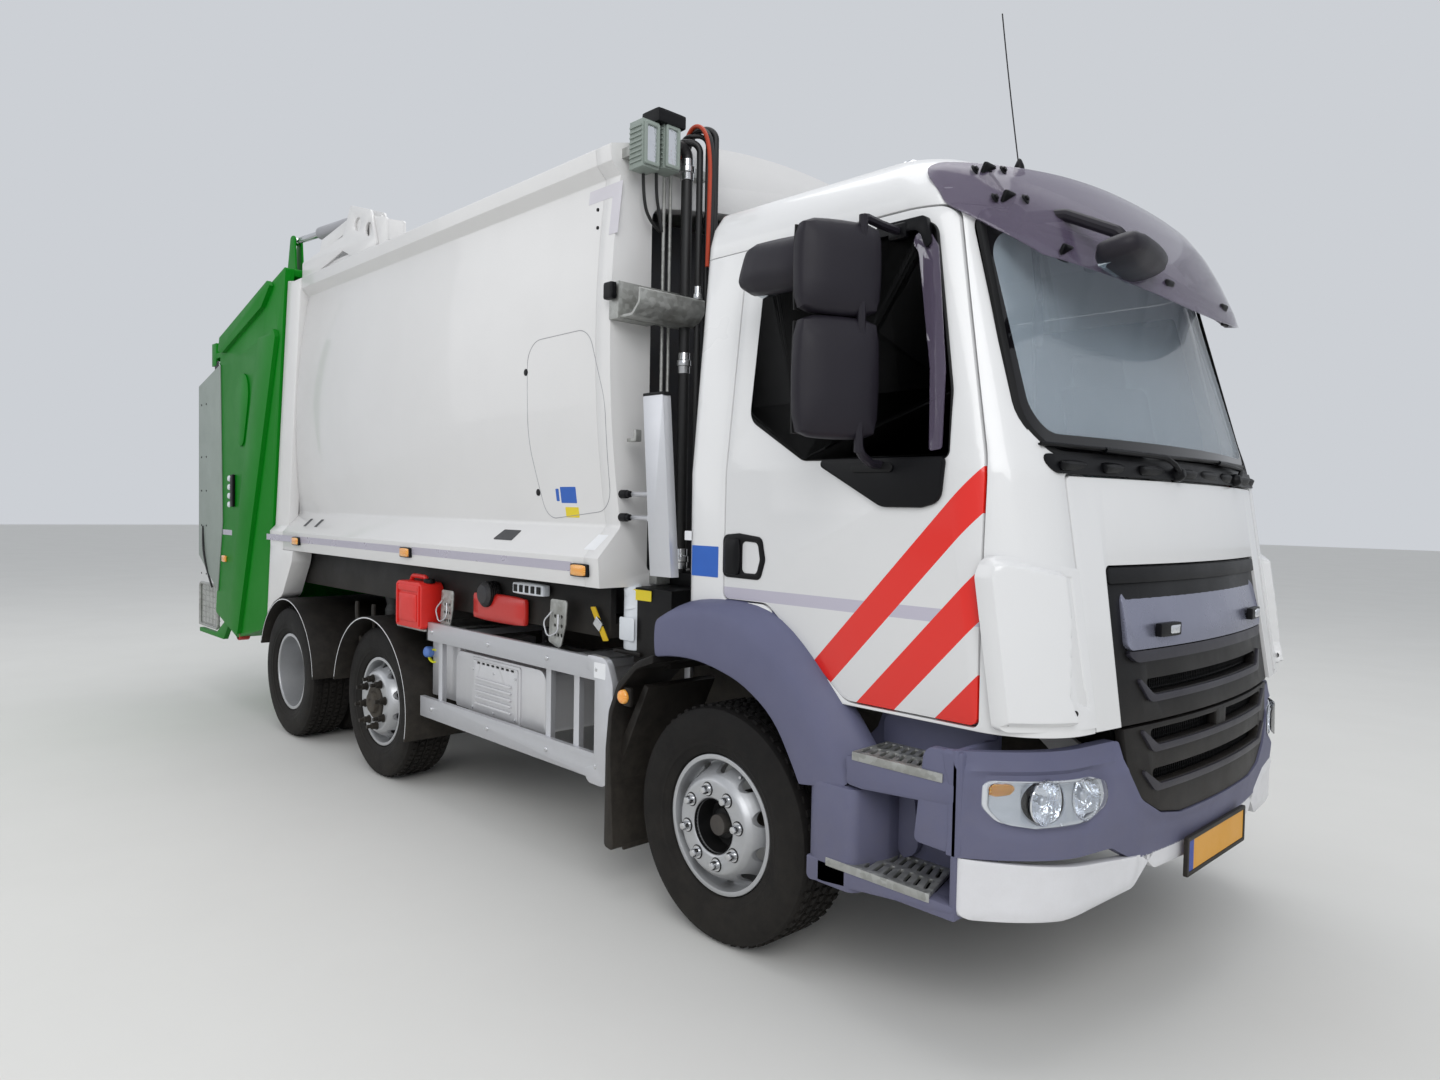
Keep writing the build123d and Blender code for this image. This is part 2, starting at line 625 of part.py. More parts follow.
def make_chassis():
    """Ladder frame, axles, engine, tanks and everything that hangs from the frame."""
    frame_parts = []
    for side in (1, -1):
        outer, inner = side * rail_outer_y, side * (rail_outer_y - rail_wall)
        flange = side * (rail_outer_y - rail_width)
        y_web = sorted((outer, inner))
        y_flange = sorted((inner, flange))
        frame_parts.append(block(rail_rear_x, rail_front_x, *y_web, rail_bottom_z, rail_top_z))
        frame_parts.append(block(rail_rear_x, rail_front_x, *y_flange,
                                 rail_bottom_z, rail_bottom_z + rail_wall))
        frame_parts.append(block(rail_rear_x, rail_front_x, *y_flange, rail_top_z - rail_wall, rail_top_z))
        ear = prism(tilt_ear_corners, "y", side * rail_outer_y, side * (tilt_arm_y - 6))
        bore = rod((tilt_x, side * 400, tilt_z), (tilt_x, side * 500, tilt_z),
                   tilt_pin_radius + running_clearance)
        frame_parts.append(ear - bore)
    inner_half = rail_outer_y - rail_wall
    for x in cross_member_places:
        frame_parts.append(block(x - 40, x + 40, -inner_half, inner_half, rail_top_z - 70, rail_top_z - 10))
    front_beam = block(rail_front_x - 20, rail_front_x + 60, -rail_outer_y, rail_outer_y,
                       rail_bottom_z + 20, rail_top_z - 60)
    tow_x = rail_front_x + 130
    tow_plate = block(rail_front_x, tow_x + 60, -60, 60, tow_plate_top_z - tow_plate_thickness,
                      tow_plate_top_z)
    tow_web = block(rail_front_x, rail_front_x + 50, -60, 60, tow_plate_top_z - 5, rail_bottom_z + 25)
    tow_bore = rod((tow_x, 0, 400), (tow_x, 0, 600), tow_bore_radius)
    frame = fused(*frame_parts, front_beam, tow_plate, tow_web) - tow_bore

    beam = prism(front_beam_corners, "x", -45, 45)
    boss_low, boss_high = wheel_z - 49, wheel_z + 49
    springs = []
    for side in (1, -1):
        y0, y1 = sorted((side * 385, side * 465))
        springs.append(block(-600, 600, y0, y1, 490, 520))
        springs.append(block(-60, 60, y0, y1, 485, 495))
        springs.append(block(-620, -590, y0, y1, 490, rail_bottom_z))
        springs.append(block(590, 620, y0, y1, 490, rail_bottom_z))
        beam = fused(beam, rod((0, side * kingpin_y, boss_low), (0, side * kingpin_y, boss_high), 42))
    for side in (1, -1):
        beam = beam - rod((0, side * kingpin_y, 300), (0, side * kingpin_y, 600),
                          kingpin_radius + running_clearance)
    front_axle = fused(beam, *springs)

    def air_sprung(x, tube_radius, tube_half, spindle_radius_here, spindle_end, casing_radius):
        parts = [rod((x, -tube_half, wheel_z), (x, tube_half, wheel_z), tube_radius)]
        if not casing_radius:
            parts = [prism(middle_beam_corners, "x", x - 50, x + 50)]
        parts.append(rod((x, -spindle_end, wheel_z), (x, spindle_end, wheel_z), spindle_radius_here))
        if casing_radius:
            parts.append(rod((x - 120, 0, wheel_z), (x + 160, 0, wheel_z), casing_radius))
        for side in (1, -1):
            y0, y1 = sorted((side * 380, side * 460))
            parts.append(rod((x, side * 420, wheel_z), (x, side * 420, rail_bottom_z), 78))
            parts.append(block(x, x + 520, y0, y1, wheel_z - 30, wheel_z + 20))
            parts.append(block(x + 480, x + 540, y0, y1, wheel_z - 30, rail_bottom_z))
        return fused(*parts)

    middle_end = middle_wheel_y + 123
    middle_axle = air_sprung(middle_axle_x, 62, middle_wheel_y - 60, steering_spindle_radius, middle_end, 0)
    twin_middle = twin_outer_y - twin_spacing / 2
    drive_axle = air_sprung(drive_axle_x, 75, twin_middle - 175, twin_spindle_radius, twin_middle + 88, 190)
    shaft = rod((drive_axle_x + 162, 0, wheel_z), (-1500, 0, 640), 50)
    shaft = fused(shaft, rod((-1500, 0, 640), (-500, 0, 700), 50),
                  rod((-1520, 0, 640), (-1480, 0, 640), 80))

    engine = block(-150, 850, -300, 300, 560, 1270)
    gearbox = block(-495, -152, -180, 180, 620, 930)
    radiator = block(962, 1040, -350, 350, 600, 1030)
    return {
        "chassis_frame": frame,
        "front_axle": front_axle,
        "middle_axle": middle_axle,
        "drive_axle": Compound([*drive_axle.solids(), *shaft.solids()]),
        "engine_block": Compound([engine, gearbox, radiator]),
    }


def front_shape(z, half, front, radius, inset):
    return cab_section(z, 700, half, front, radius, inset)


def front_shell(rows, wall):
    """A shell bowed like the cab's nose, from rows of height, half width, front x and corner radius."""
    outer = Solid.make_loft([front_shape(*row, 0) for row in rows], True)
    drop = 40
    stretched = [(rows[0][0] - drop, *rows[0][1:]), *rows[1:-1], (rows[-1][0] + drop, *rows[-1][1:])]
    inner = Solid.make_loft([front_shape(*row, wall) for row in stretched], True)
    return outer - inner


low_grille_corners = [(-652, 1000), (-631, 847, 60), (-561, 749, 80), (-448, 691, 60), (-320, 670, 60),
                      (320, 670, 60),
                      (448, 691, 60), (561, 749, 80), (631, 847, 60), (652, 1000)]
bumper_rows = [(bumper_low_z, 1150, 1372, 260), (700, 1150, bumper_front_x, 260), (860, 1150, 1376, 260),
               (bumper_top_z, 1150, 1346, 250)]
apron_rows = [(apron_low_z, 1120, 1330, 250), (500, 1140, 1362, 250), (bumper_low_z - 4, 1140, 1364, 250)]


def make_front():
    keep = block(1055, 1600, -1300, 1300, 0, 1200)
    bumper = front_shell(bumper_rows, bumper_wall) & keep
    grille_zone = prism(low_grille_corners, "x", 1150, 1500)
    inset_rows = [(z, half - low_grille_inset, front - low_grille_inset, radius)
                  for z, half, front, radius in bumper_rows]
    low_grille = front_shell(inset_rows, low_grille_thickness) & grille_zone
    bumper = bumper - grille_zone
    lamp_room = []
    for low, high in ((lamp_inner_y, lamp_outer_y), (-lamp_outer_y, -lamp_inner_y)):
        lamp_room.append(block(1080, 1600, low, high, lamp_low_z, lamp_top_z))
    lamp_shell = front_shell([(z, h - 4, f - 4, r - 4) for z, h, f, r in bumper_rows], lamp_depth)
    bumper = bumper - lamp_room[0] - lamp_room[1]
    low_grille = low_grille - lamp_room[0] - lamp_room[1]
    gap = 2
    lamps = []
    for low, high in ((lamp_inner_y + gap, lamp_outer_y - gap), (-lamp_outer_y + gap, -lamp_inner_y - gap)):
        room = block(1080 + gap, 1600, low, high, lamp_low_z + gap, lamp_top_z - gap)
        lamps.append(lamp_shell & room)
    apron = front_shell(apron_rows, apron_wall) & keep
    apron = apron - block(1000, 1600, -430, 430, 0, 530)
    plate = block(plate_front_x - 8, plate_front_x, -262, 262, 470, 585)
    holder = block(1322, plate_front_x - 8.5, -262, 262, 500, 600)
    steps = []
    for corners, low, high in step_pieces:
        steps.append(prism(corners, "y", low, high))
    step_unit = fused(*steps)
    return {
        "front_bumper": Compound([*bumper.solids(), *low_grille.solids()]),
        "headlamps": Compound([x for lamp in lamps for x in lamp.solids()]),
        "bumper_apron": Compound([*fused(apron, holder).solids(), *plate.solids()]),
        "cab_steps": both_sides(step_unit),
    }


def make_underbody():
    shields = [fused(*[prism(corners, "y", 720, 1088) for corners in mudflap_outlines])]
    for x, inner_y, outer_y, start, end in mudguard_table:
        shields.append(ring_part(x, inner_y, outer_y, start, end))
    rails = []
    for low, high, front, rear in guard_rails:
        rails.append(block(rear, front, guard_y, guard_y + 26, low, high))
    front_post = prism(guard_post_corners, "y", guard_y, guard_y + 30)
    rails.append(front_post)
    for x in guard_brackets:
        rails.append(block(x - 20, x + 20, guard_y - 24, guard_y + 2, 470, 975))
        rails.append(block(x - 20, x + 20, rail_outer_y, guard_y - 20, 900, 935))
        rails.append(block(x - 20, x + 20, rail_outer_y, rail_outer_y + 20, 700, 935))
    side_guard = fused(*rails)
    muffler = prism([(-2050, 555, 20), (-1200, 555, 20), (-1200, 850, 60), (-2050, 850, 60)], "y", -1060,
                    -500)
    hangers = [block(x - 25, x + 25, -505, -rail_outer_y, 640, 760) for x in (-1900, -1350)]
    muffler = fused(muffler, *hangers)
    box_tank = fused(block(-2372, -2062, -1030, -560, 560, 880),
                     block(-2240, -2200, -565, -rail_outer_y, 700, 760))
    tank = prism([(-2060, 520, 90), (-1130, 520, 90), (-1130, 860, 90), (-2060, 860, 90)], "y", 500, 1060)
    tank = fused(tank, *[hanger.mirror(Plane.XZ) for hanger in hangers])
    can_inner_y = -floor_half - can_gap
    can = prism([(-2560, 940, 20), (-2250, 940, 20), (-2250, 1190, 40), (-2560, 1190, 40)], "y",
                can_inner_y - can_depth, can_inner_y)
    shelf = block(-2600, -2262, -1135, -500, 925, 939)
    bottle = rod((-661, -930, 1010), (-661, -930, 1270), 78)
    shelf_front = block(-760, -575, -1010, -430, 990, 1009)
    return {
        "mudguards": Compound([x for s in shields for x in both_sides(s).solids()]),
        "side_guards": both_sides(side_guard),
        "exhaust_box": Compound([*muffler.solids(), *box_tank.solids()]),
        "fuel_tank": tank,
        "canisters": Compound([can, shelf, bottle, shelf_front]),
    }


def ring_part(x, inner_y, outer_y, start, end):
    """A mudguard: a stretch of a tube about the wheel, from the start angle to the end angle."""
    def at(radius, angle):
        return (x + radius * math.cos(math.radians(angle)),
                wheel_z + radius * math.sin(math.radians(angle)))
    middle = (start + end) / 2
    points = []
    for radius in (mudguard_radius, mudguard_radius + mudguard_thickness):
        points.append([Vector(at(radius, a)[0], inner_y, at(radius, a)[1]) for a in (start, middle, end)])
    inner, outer = points
    wire = Wire([
        Edge.make_three_point_arc(*inner),
        Edge.make_line(inner[2], outer[2]),
        Edge.make_three_point_arc(outer[2], outer[1], outer[0]),
        Edge.make_line(outer[0], inner[0]),
    ])
    return Solid.extrude(Face(wire), Vector(0, outer_y - inner_y, 0))


def make_wheels():
    result = {}
    for side, name in ((1, "left"), (-1, "right")):
        def across(profile):
            return [(c[0] * side, *c[1:]) for c in profile]
        for axle, x, y in (("front", 0, front_wheel_y), ("middle", middle_axle_x, middle_wheel_y)):
            result[f"tyre_{axle}_{name}"] = turned(across(tyre_profile), x, side * y, wheel_z)
            result[f"rim_{axle}_{name}"] = turned(across(single_rim_profile), x, side * y, wheel_z)
        half = twin_spacing / 2
        middle = side * (twin_outer_y - half)
        tyres = []
        parts = [turned(across(twin_hub_profile), drive_axle_x, middle, wheel_z)]
        for sign in (1, -1):
            tyres.append(turned(across(tyre_profile), drive_axle_x, middle + side * sign * half, wheel_z))
            barrel = [(c[0] + sign * half, *c[1:]) for c in barrel_profile]
            parts.append(turned(across(barrel), drive_axle_x, middle, wheel_z))
            web = [(c[0] * sign, *c[1:]) for c in twin_web_profile]
            parts.append(turned(across(web), drive_axle_x, middle, wheel_z))
        result[f"tyre_rear_{name}"] = Compound([x for t in tyres for x in t.solids()])
        result[f"rim_rear_{name}"] = fused(*parts)
        pin = rod((0, side * kingpin_y, wheel_z - 100), (0, side * kingpin_y, wheel_z + 100),
                  kingpin_radius)
        y0, y1 = sorted((side * (kingpin_y - 35), side * (kingpin_y + 70)))
        plate0, plate1 = sorted((side * (kingpin_y + 48), side * (kingpin_y + 72)))
        upper = block(-40, 40, y0, y1, wheel_z + 55, wheel_z + 87)
        lower = block(-40, 40, y0, y1, wheel_z - 87, wheel_z - 55)
        plate = block(-40, 40, plate0, plate1, wheel_z - 87, wheel_z + 87)
        spindle = rod((0, side * (kingpin_y + 60), wheel_z), (0, side * (front_wheel_y + 123), wheel_z),
                      steering_spindle_radius)
        result[f"knuckle_{name}"] = fused(pin, upper, lower, plate, spindle)
    return result


def interface_x(z, ahead=0):
    """The slanted joint between the body and the tailgate, moved forward by ahead."""
    return interface_top_x - (interface_top_z - z) * interface_slope + ahead


def slanted(low_z, high_z, ahead_rear, ahead_front, half):
    """A slab of space between two planes that slant like the tailgate joint."""
    corners = [
        (interface_x(low_z, ahead_rear), low_z),
        (interface_x(high_z, ahead_rear), high_z),
        (interface_x(high_z, ahead_front), high_z),
        (interface_x(low_z, ahead_front), low_z),
    ]
    return prism(corners, "y", -half, half)


def make_body():
    """The load body: floor, bulged sides, roof, front and rear frames and the roof brackets."""
    rear_cut = slanted(900, 3500, -1200, rear_frame_width, 1400)
    side = prism(side_section, "x", -4800, body_front_x - front_frame_depth - 2) - rear_cut
    roof_x = body_front_x - front_frame_depth - 2
    roof = prism(roof_section, "x", -4800, roof_x) - rear_cut
    outside = [(-c[0], *c[1:]) for c in outer_section[::-1]] + outer_section
    crown = [(0, roof_corner_z, roof_radius)]
    full = outside + crown
    front = prism(full, "x", body_front_x - front_frame_depth, body_front_x)
    opening = [(-opening_half, 1340, 30), (opening_half, 1340, 30), (opening_half, 2895, 60),
               (0, 3060, 4000), (-opening_half, 2895, 60)]
    front = front - prism(opening, "x", -900, 0)
    rear = prism(full, "x", -4800, -3800) & slanted(900, 3500, 0, rear_frame_width - 2, 1400)
    rear_opening = [(-post_half, body_floor_z + floor_plate), (post_half, body_floor_z + floor_plate),
                    (post_half, 2960, 60), (-post_half, 2960, 60)]
    rear = rear - prism(rear_opening, "x", -5000, -3000)
    leg = prism(rear_leg_corners, "y", 1034, 1162)
    rear = fused(rear, both_sides(leg))
    lug = prism(body_lug_corners, "y", body_lug_y, body_lug_y + lug_width)
    bore = rod((hinge_x, body_lug_y - 50, hinge_z), (hinge_x, body_lug_y + 100, hinge_z),
               hinge_pin_radius + running_clearance)
    rear = fused(rear, both_sides(lug - bore))

    floor_front = body_front_x - front_frame_depth - 2
    floor = prism(floor_section, "x", -4800, floor_front) - rear_cut
    for y0 in (subframe_half - 60, -subframe_half):
        floor = fused(floor, block(-4300, floor_front, y0, y0 + 60, rail_top_z, body_floor_z + 5))
    ejector = block(ejector_x - ejector_thickness, ejector_x, -980, 980, body_floor_z + floor_plate + 15,
                    2960)
    brackets = []
    for y in (lift_y - 60, lift_y + 48):
        plate = prism(bracket_corners, "y", y, y + 12)
        for window in bracket_windows:
            plate = plate - prism(window, "y", y - 5, y + 20)
        brackets.append(plate)
    brackets.append(block(-3140, -2955, lift_y - 50, lift_y + 50, 3175, 3295))
    brackets.append(block(-3440, -3100, lift_y - 60, lift_y + 60, 3160, 3190))
    pin = rod((lift_pivot_x, lift_y - 62, lift_pivot_z), (lift_pivot_x, lift_y + 62, lift_pivot_z), 16)
    bracket = fused(*brackets, pin)
    return {
        "body_sides": both_sides(side),
        "body_roof": fused(roof, both_sides(bracket)),
        "body_front_frame": Compound([s for part in (front, *make_gap_gear(body_front_x))
                                      for s in part.solids()]),
        "body_rear_frame": rear,
        "body_floor": floor,
        "ejector_plate": ejector,
    }


def pipe(points, radius, bend):
    """A round pipe or hose through points, with bends of one radius."""
    path = FilletPolyline(*points, radius=bend) if len(points) > 2 else Line(*points)
    return sweep(Plane(origin=path @ 0, z_dir=path % 0) * Circle(radius), path=path).solid()


def make_gap_gear(front):
    """Work lamps, pipes and hoses that stand on the body's front frame, on the lorry's right."""
    beam = block(front, front + 50, -1075, -640, 3060, 3100)
    pipe_x = front + 35
    clamp = block(front, front + 50, -895, -820, 1290, 1335)
    pipes = [rod((pipe_x, y, 1330), (pipe_x, y, 3065), 7) for y in (-875, -840)]
    lamps = [block(front + 50, front + 135, -1075, -990, 3000, 3190),
             block(front + 50, front + 135, -965, -880, 3020, 3200)]
    foot = block(front, front + 50, -1130, -930, 2390, 2540)
    board = block(front + 50, front + 62, -1130, -745, 2390, 2540)
    manifold = block(front, front + 210, -815, -640, 1285, 1340)
    frame_end = front + 0.5
    thick = pipe([(frame_end, -880, 3150), (front + 90, -880, 3150), (front + 90, -795, 3150),
                  (front + 90, -795, 1341)], 24, 40)
    hoses = []
    for step, radius in ((0, 14), (1, 10), (2, 14)):
        y = -700 - 34 * step
        x = front + 165 - 12 * step
        hoses.append(pipe([(frame_end, y - 60, 3150 - 16 * step), (front + 80, y - 60, 3240 - 34 * step),
                           (x, y, 3240 - 34 * step), (x, y, 1341)], radius, 45))
    plank = prism([(-382, 1350), (-255, 1350), (-321, 2060, 8), (-443, 2060, 8)], "y", -1120, -1080)
    studs = []
    for z in (1576, 1673):
        studs.append(rod((front, -1040, z), (-400, -1040, z), 10))
        studs.append(block(-432, -400, -1100, -1030, z - 12, z + 12))
    return [fused(beam, clamp, *pipes), *lamps, fused(foot, board), fused(manifold, thick), *hoses,
            fused(plank, *studs)]


def make_tailgate():
    gap = tailgate_gap
    front_edge = [(interface_x(790, -gap), 790), (interface_x(3225, -gap), 3225, 15)]
    cheek = prism(front_edge + cheek_rear_corners, "y", tailgate_half - cheek_width, tailgate_half)
    holder = prism(step_holder_corners, "y", step_hinge_y - 18, step_hinge_y + 18)
    rib = prism(rib_corners, "y", tailgate_half, tailgate_half + rib_depth)
    ledge = prism(ledge_corners, "y", tailgate_half, tailgate_half + rib_depth)
    lamp_arm = block(-5905, -5740, 1100, 1140, 2755, 2795)
    lamp_box = block(-6010, -5900, 1030, 1140, 2700, 2880)
    inner_half = tailgate_half - cheek_width - 2
    cover = prism(front_edge[1:] + cover_corners, "y", -inner_half, inner_half)
    trough = prism([(interface_x(1105, -gap), 1105)] + trough_corners, "y", -inner_half, inner_half)
    lug_y = body_lug_y + lug_width + lug_gap
    lug = prism(tailgate_lug_corners, "y", lug_y, lug_y + lug_width)
    pin = rod((hinge_x, body_lug_y - 6, hinge_z), (hinge_x, lug_y + lug_width, hinge_z), hinge_pin_radius)
    ears = []
    for y in (lift_y - 30, lift_y + 18):
        ears.append(prism(lift_ear_corners, "y", y, y + 12))
    ear_foot = block(-4690, -4480, lift_y - 30, lift_y + 30, 3110, 3160)
    cover = fused(cover, both_sides(lug), both_sides(pin), both_sides(ears[0]), both_sides(ears[1]),
                  both_sides(ear_foot))
    carriage = prism(carriage_corners, "y", -1060, 1060)
    cover = fused(cover, carriage)
    packer = prism(packer_corners, "y", -packer_half, packer_half)
    packer = fused(packer, rod((packer_pivot_x, -packer_half, packer_pivot_z),
                               (packer_pivot_x, packer_half, packer_pivot_z),
                               packer_tube_radius))
    screen = prism(screen_corners, "y", tailgate_half, tailgate_half + 8)
    barrel, lift_rod = [], []
    aim = Vector(lift_eye_x - lift_pivot_x, 0, lift_eye_z - lift_pivot_z).normalized()
    start = Vector(lift_pivot_x, lift_y, lift_pivot_z)
    tube_end = start + aim * barrel_length
    tube = rod(start + aim * 60, tube_end, barrel_radius)
    eye = rod((lift_pivot_x, lift_y - 40, lift_pivot_z), (lift_pivot_x, lift_y + 40, lift_pivot_z), 34)
    neck = rod(start + aim * 20, start + aim * 70, 24)
    tube = fused(tube, eye, neck)
    tube = tube - rod((lift_pivot_x, lift_y - 60, lift_pivot_z), (lift_pivot_x, lift_y + 60, lift_pivot_z),
                      16.5)
    tube = tube - rod(start + aim * 300, tube_end + aim * 10, rod_radius + running_clearance)
    eye_point = Vector(lift_eye_x, lift_y, lift_eye_z)
    piston = rod(start + aim * 620, eye_point - aim * 90, rod_radius)
    neck = rod(eye_point - aim * 95, eye_point - aim * 20, 9)
    lug_eye = rod(eye_point - Vector(0, 11, 0), eye_point + Vector(0, 11, 0), 30)
    piston = fused(piston, neck, lug_eye)
    arms = []
    for y in (comb_half - 60, -comb_half + 30):
        arms.append(prism(bin_arm_corners, "y", y, y + 30))
    comb = block(-6235, -6185, -comb_half, comb_half, 1180, 1290)
    teeth = []
    tooth_count = 15
    for i in range(tooth_count):
        y = -comb_half + 30 + i * (2 * comb_half - 60) / (tooth_count - 1)
        teeth.append(block(-6235, -6215, y - 14, y + 14, 1280, 1325))
    lift_pin = rod((bin_pivot_x, -comb_half - 20, bin_pivot_z), (bin_pivot_x, comb_half + 20, bin_pivot_z),
                   30)
    bin_lift = fused(*arms, comb, *teeth, lift_pin)
    boards = []
    grid = block(step_rear_x + 20, step_front_x - 20, step_hinge_y - 9, step_hinge_y + 3, step_hinge_z + 10,
                 step_hinge_z + step_depth - 10)
    corners = [(step_rear_x + 14, step_hinge_z), (step_rear_x + 14, step_hinge_z + step_depth),
               (step_front_x - 14, step_hinge_z + step_depth), (step_front_x - 14, step_hinge_z)]
    for i in range(4):
        a, b = corners[i - 1], corners[i]
        boards.append(rod((a[0], step_hinge_y, a[1]), (b[0], step_hinge_y, b[1]), step_tube_radius))
        boards.append(Solid.make_sphere(step_tube_radius, Plane((b[0], step_hinge_y, b[1]))))
    board = fused(grid, *boards)
    return {
        "tailgate_cheeks": both_sides(fused(cheek, holder, rib, ledge, lamp_arm, lamp_box)),
        "tailgate_cover": cover,
        "hopper_trough": trough,
        "packer_plate": packer,
        "side_screens": both_sides(screen),
        "lift_barrels": both_sides(tube),
        "lift_rods": both_sides(piston),
        "bin_lift": bin_lift,
        "footboard_left": board,
        "footboard_right": board.mirror(Plane.XZ),
    }


def save(name, shape):
    solids = shape.solids()
    moved = Compound([s.moved(Location((origin_shift, 0, 0))) for s in solids])
    export_step(moved, f"parts/{name}.step")
    return len(solids)


os.makedirs("parts", exist_ok=True)
pieces = {}
for maker in (make_chassis, make_front, make_underbody, make_wheels, make_body, make_tailgate, make_cab,
              make_cab_fittings, make_mirrors):
    pieces.update(maker())
for piece_name, piece_shape in pieces.items():
    save(piece_name, piece_shape)
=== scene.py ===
import json
import math

import bmesh
import bpy
from mathutils import Matrix, Vector


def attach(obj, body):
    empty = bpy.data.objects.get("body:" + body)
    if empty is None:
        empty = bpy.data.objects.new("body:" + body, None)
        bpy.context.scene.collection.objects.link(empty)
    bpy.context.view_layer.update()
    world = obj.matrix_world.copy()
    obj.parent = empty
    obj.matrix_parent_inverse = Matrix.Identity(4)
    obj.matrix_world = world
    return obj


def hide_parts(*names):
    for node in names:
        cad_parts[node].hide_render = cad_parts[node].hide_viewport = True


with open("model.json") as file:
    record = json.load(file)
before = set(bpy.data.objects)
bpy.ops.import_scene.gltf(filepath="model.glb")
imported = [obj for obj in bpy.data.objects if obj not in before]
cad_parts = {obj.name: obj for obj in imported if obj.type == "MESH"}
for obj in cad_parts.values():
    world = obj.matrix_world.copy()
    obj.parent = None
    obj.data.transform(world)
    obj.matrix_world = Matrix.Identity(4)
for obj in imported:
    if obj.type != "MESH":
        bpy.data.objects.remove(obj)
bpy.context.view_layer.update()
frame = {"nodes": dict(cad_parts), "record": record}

nodes = frame["nodes"]
body_of = {n: body for body, names in frame["record"]["behaviour"]["bodies"].items() for n in names}
slot_of = {part["node"]: part["material_slot"] for part in frame["record"]["subparts"]}

# Sizes below are in millimetres in the part's own drawing frame: x counts forward from the
# front axle, y to the lorry's left, z up from the ground. spot() turns them into scene metres.
# Named here: the front axle's place in the scene, the axles, tyre and wheel sizes, the piping
# round the mudguards, the tape band on the body and the cab's side.
AHEAD = 2510
SIDES = ((-1, "right"), (1, "left"))
AXLE_HEIGHT = 445
MIDDLE_AXLE, REAR_AXLE = -2890, -4220
TREAD_RADIUS = 437
NUT_RING = 137.5
TWIN_OUTER, TWIN_HALF_GAP = 1022, 159
GUARD_PIPING_RADIUS = 499
BAND_LOW, BAND_HIGH = 1340, 1381
CAB_HALF_WIDTH, CAB_WAIST = 1065, 1750


def spot(x, y, z):
    """A point of the drawing frame in scene metres."""
    return Vector(((x + AHEAD) / 1000, y / 1000, z / 1000))


# Finishes


def pitch(mm):
    """A texture's scale, in features per metre, for features about that many mm across."""
    return 1000 / mm


def srgb(code):
    """A #RRGGBB colour as linear RGBA."""
    parts = [int(code[i:i + 2], 16) / 255 for i in (1, 3, 5)]
    return tuple(p / 12.92 if p <= 0.04045 else ((p + 0.055) / 1.055) ** 2.4 for p in parts) + (1.0,)


def add(tree, kind, settings=None, **sockets):
    """Adds a node with its settings, and sets or links its input sockets by name (spaces as underscores)."""
    node = tree.nodes.new(kind)
    for key, value in (settings or {}).items():
        setattr(node, key, value)
    for key, value in sockets.items():
        index = int(key[1:]) if key[0] == "_" else key.replace("_", " ")
        if isinstance(value, bpy.types.NodeSocket):
            tree.links.new(value, node.inputs[index])
        else:
            node.inputs[index].default_value = value
    return node


def new_finish(name):
    """An empty material with nodes, and its tree."""
    finish = bpy.data.materials.new(name)
    finish.use_nodes = True
    tree = finish.node_tree
    tree.nodes.clear()
    return finish, tree


def close_finish(tree, shader):
    """Ends a material's tree with its shader."""
    add(tree, "ShaderNodeOutputMaterial", Surface=shader)


def coat(name, colour, second, roughness, metallic=0.0, grain=1.0, relief=0.1, patch=300.0, gloss=0.0,
         dust=0.0, stretch=(1, 1, 1), gleam=0.12, shine=0.5):
    """A surface with slow colour change, fine relief, uneven gloss and some road dust low down.

    grain and patch are sizes in mm: the relief's bumps and the colour's patches. gleam is how far the
    roughness wanders, shine the strength of the plain reflection and gloss the clear coat's.
    """
    finish, tree = new_finish(name)
    place = add(tree, "ShaderNodeTexCoord").outputs["Object"]
    drawn = add(tree, "ShaderNodeMapping", Vector=place, Scale=stretch).outputs[0]
    slow = add(tree, "ShaderNodeTexNoise", Vector=drawn, Scale=pitch(patch), Detail=4.0, Roughness=0.6)
    fine = add(tree, "ShaderNodeTexNoise", Vector=drawn, Scale=pitch(grain), Detail=2.0, Roughness=0.5)
    share = add(tree, "ShaderNodeMapRange", Value=slow.outputs[0], From_Min=0.35, From_Max=0.7,
                To_Max=0.35)
    base = add(tree, "ShaderNodeMix", {"data_type": "RGBA"}, _0=share.outputs[0], _6=srgb(colour),
               _7=srgb(second))
    tint = base.outputs[2]
    uneven = add(tree, "ShaderNodeMapRange", Value=slow.outputs[0], From_Min=0.3, From_Max=0.7,
                 To_Min=roughness - gleam / 2, To_Max=roughness + gleam / 2).outputs[0]
    if dust:
        height = add(tree, "ShaderNodeSeparateXYZ", Vector=place).outputs[2]
        low = add(tree, "ShaderNodeMapRange", Value=height, From_Min=1.3, From_Max=0.1,
                  To_Max=dust).outputs[0]
        speck = add(tree, "ShaderNodeTexNoise", Vector=place, Scale=14.0, Detail=6.0,
                    Roughness=0.7).outputs[0]
        settled = add(tree, "ShaderNodeMath", {"operation": "MULTIPLY"}, _0=low, _1=speck).outputs[0]
        tint = add(tree, "ShaderNodeMix", {"data_type": "RGBA"}, _0=settled, _6=tint,
                   _7=srgb("#8A8174")).outputs[2]
        uneven = add(tree, "ShaderNodeMath", {"operation": "ADD"}, _0=uneven, _1=settled).outputs[0]
    bump = add(tree, "ShaderNodeBump", Strength=relief, Distance=grain / 1000, Height=fine.outputs[0])
    shader = add(tree, "ShaderNodeBsdfPrincipled", Base_Color=tint, Roughness=uneven, Metallic=metallic,
                 Specular_IOR_Level=shine, Coat_Weight=gloss, Coat_Roughness=0.06, Normal=bump.outputs[0])
    close_finish(tree, shader.outputs[0])
    return finish


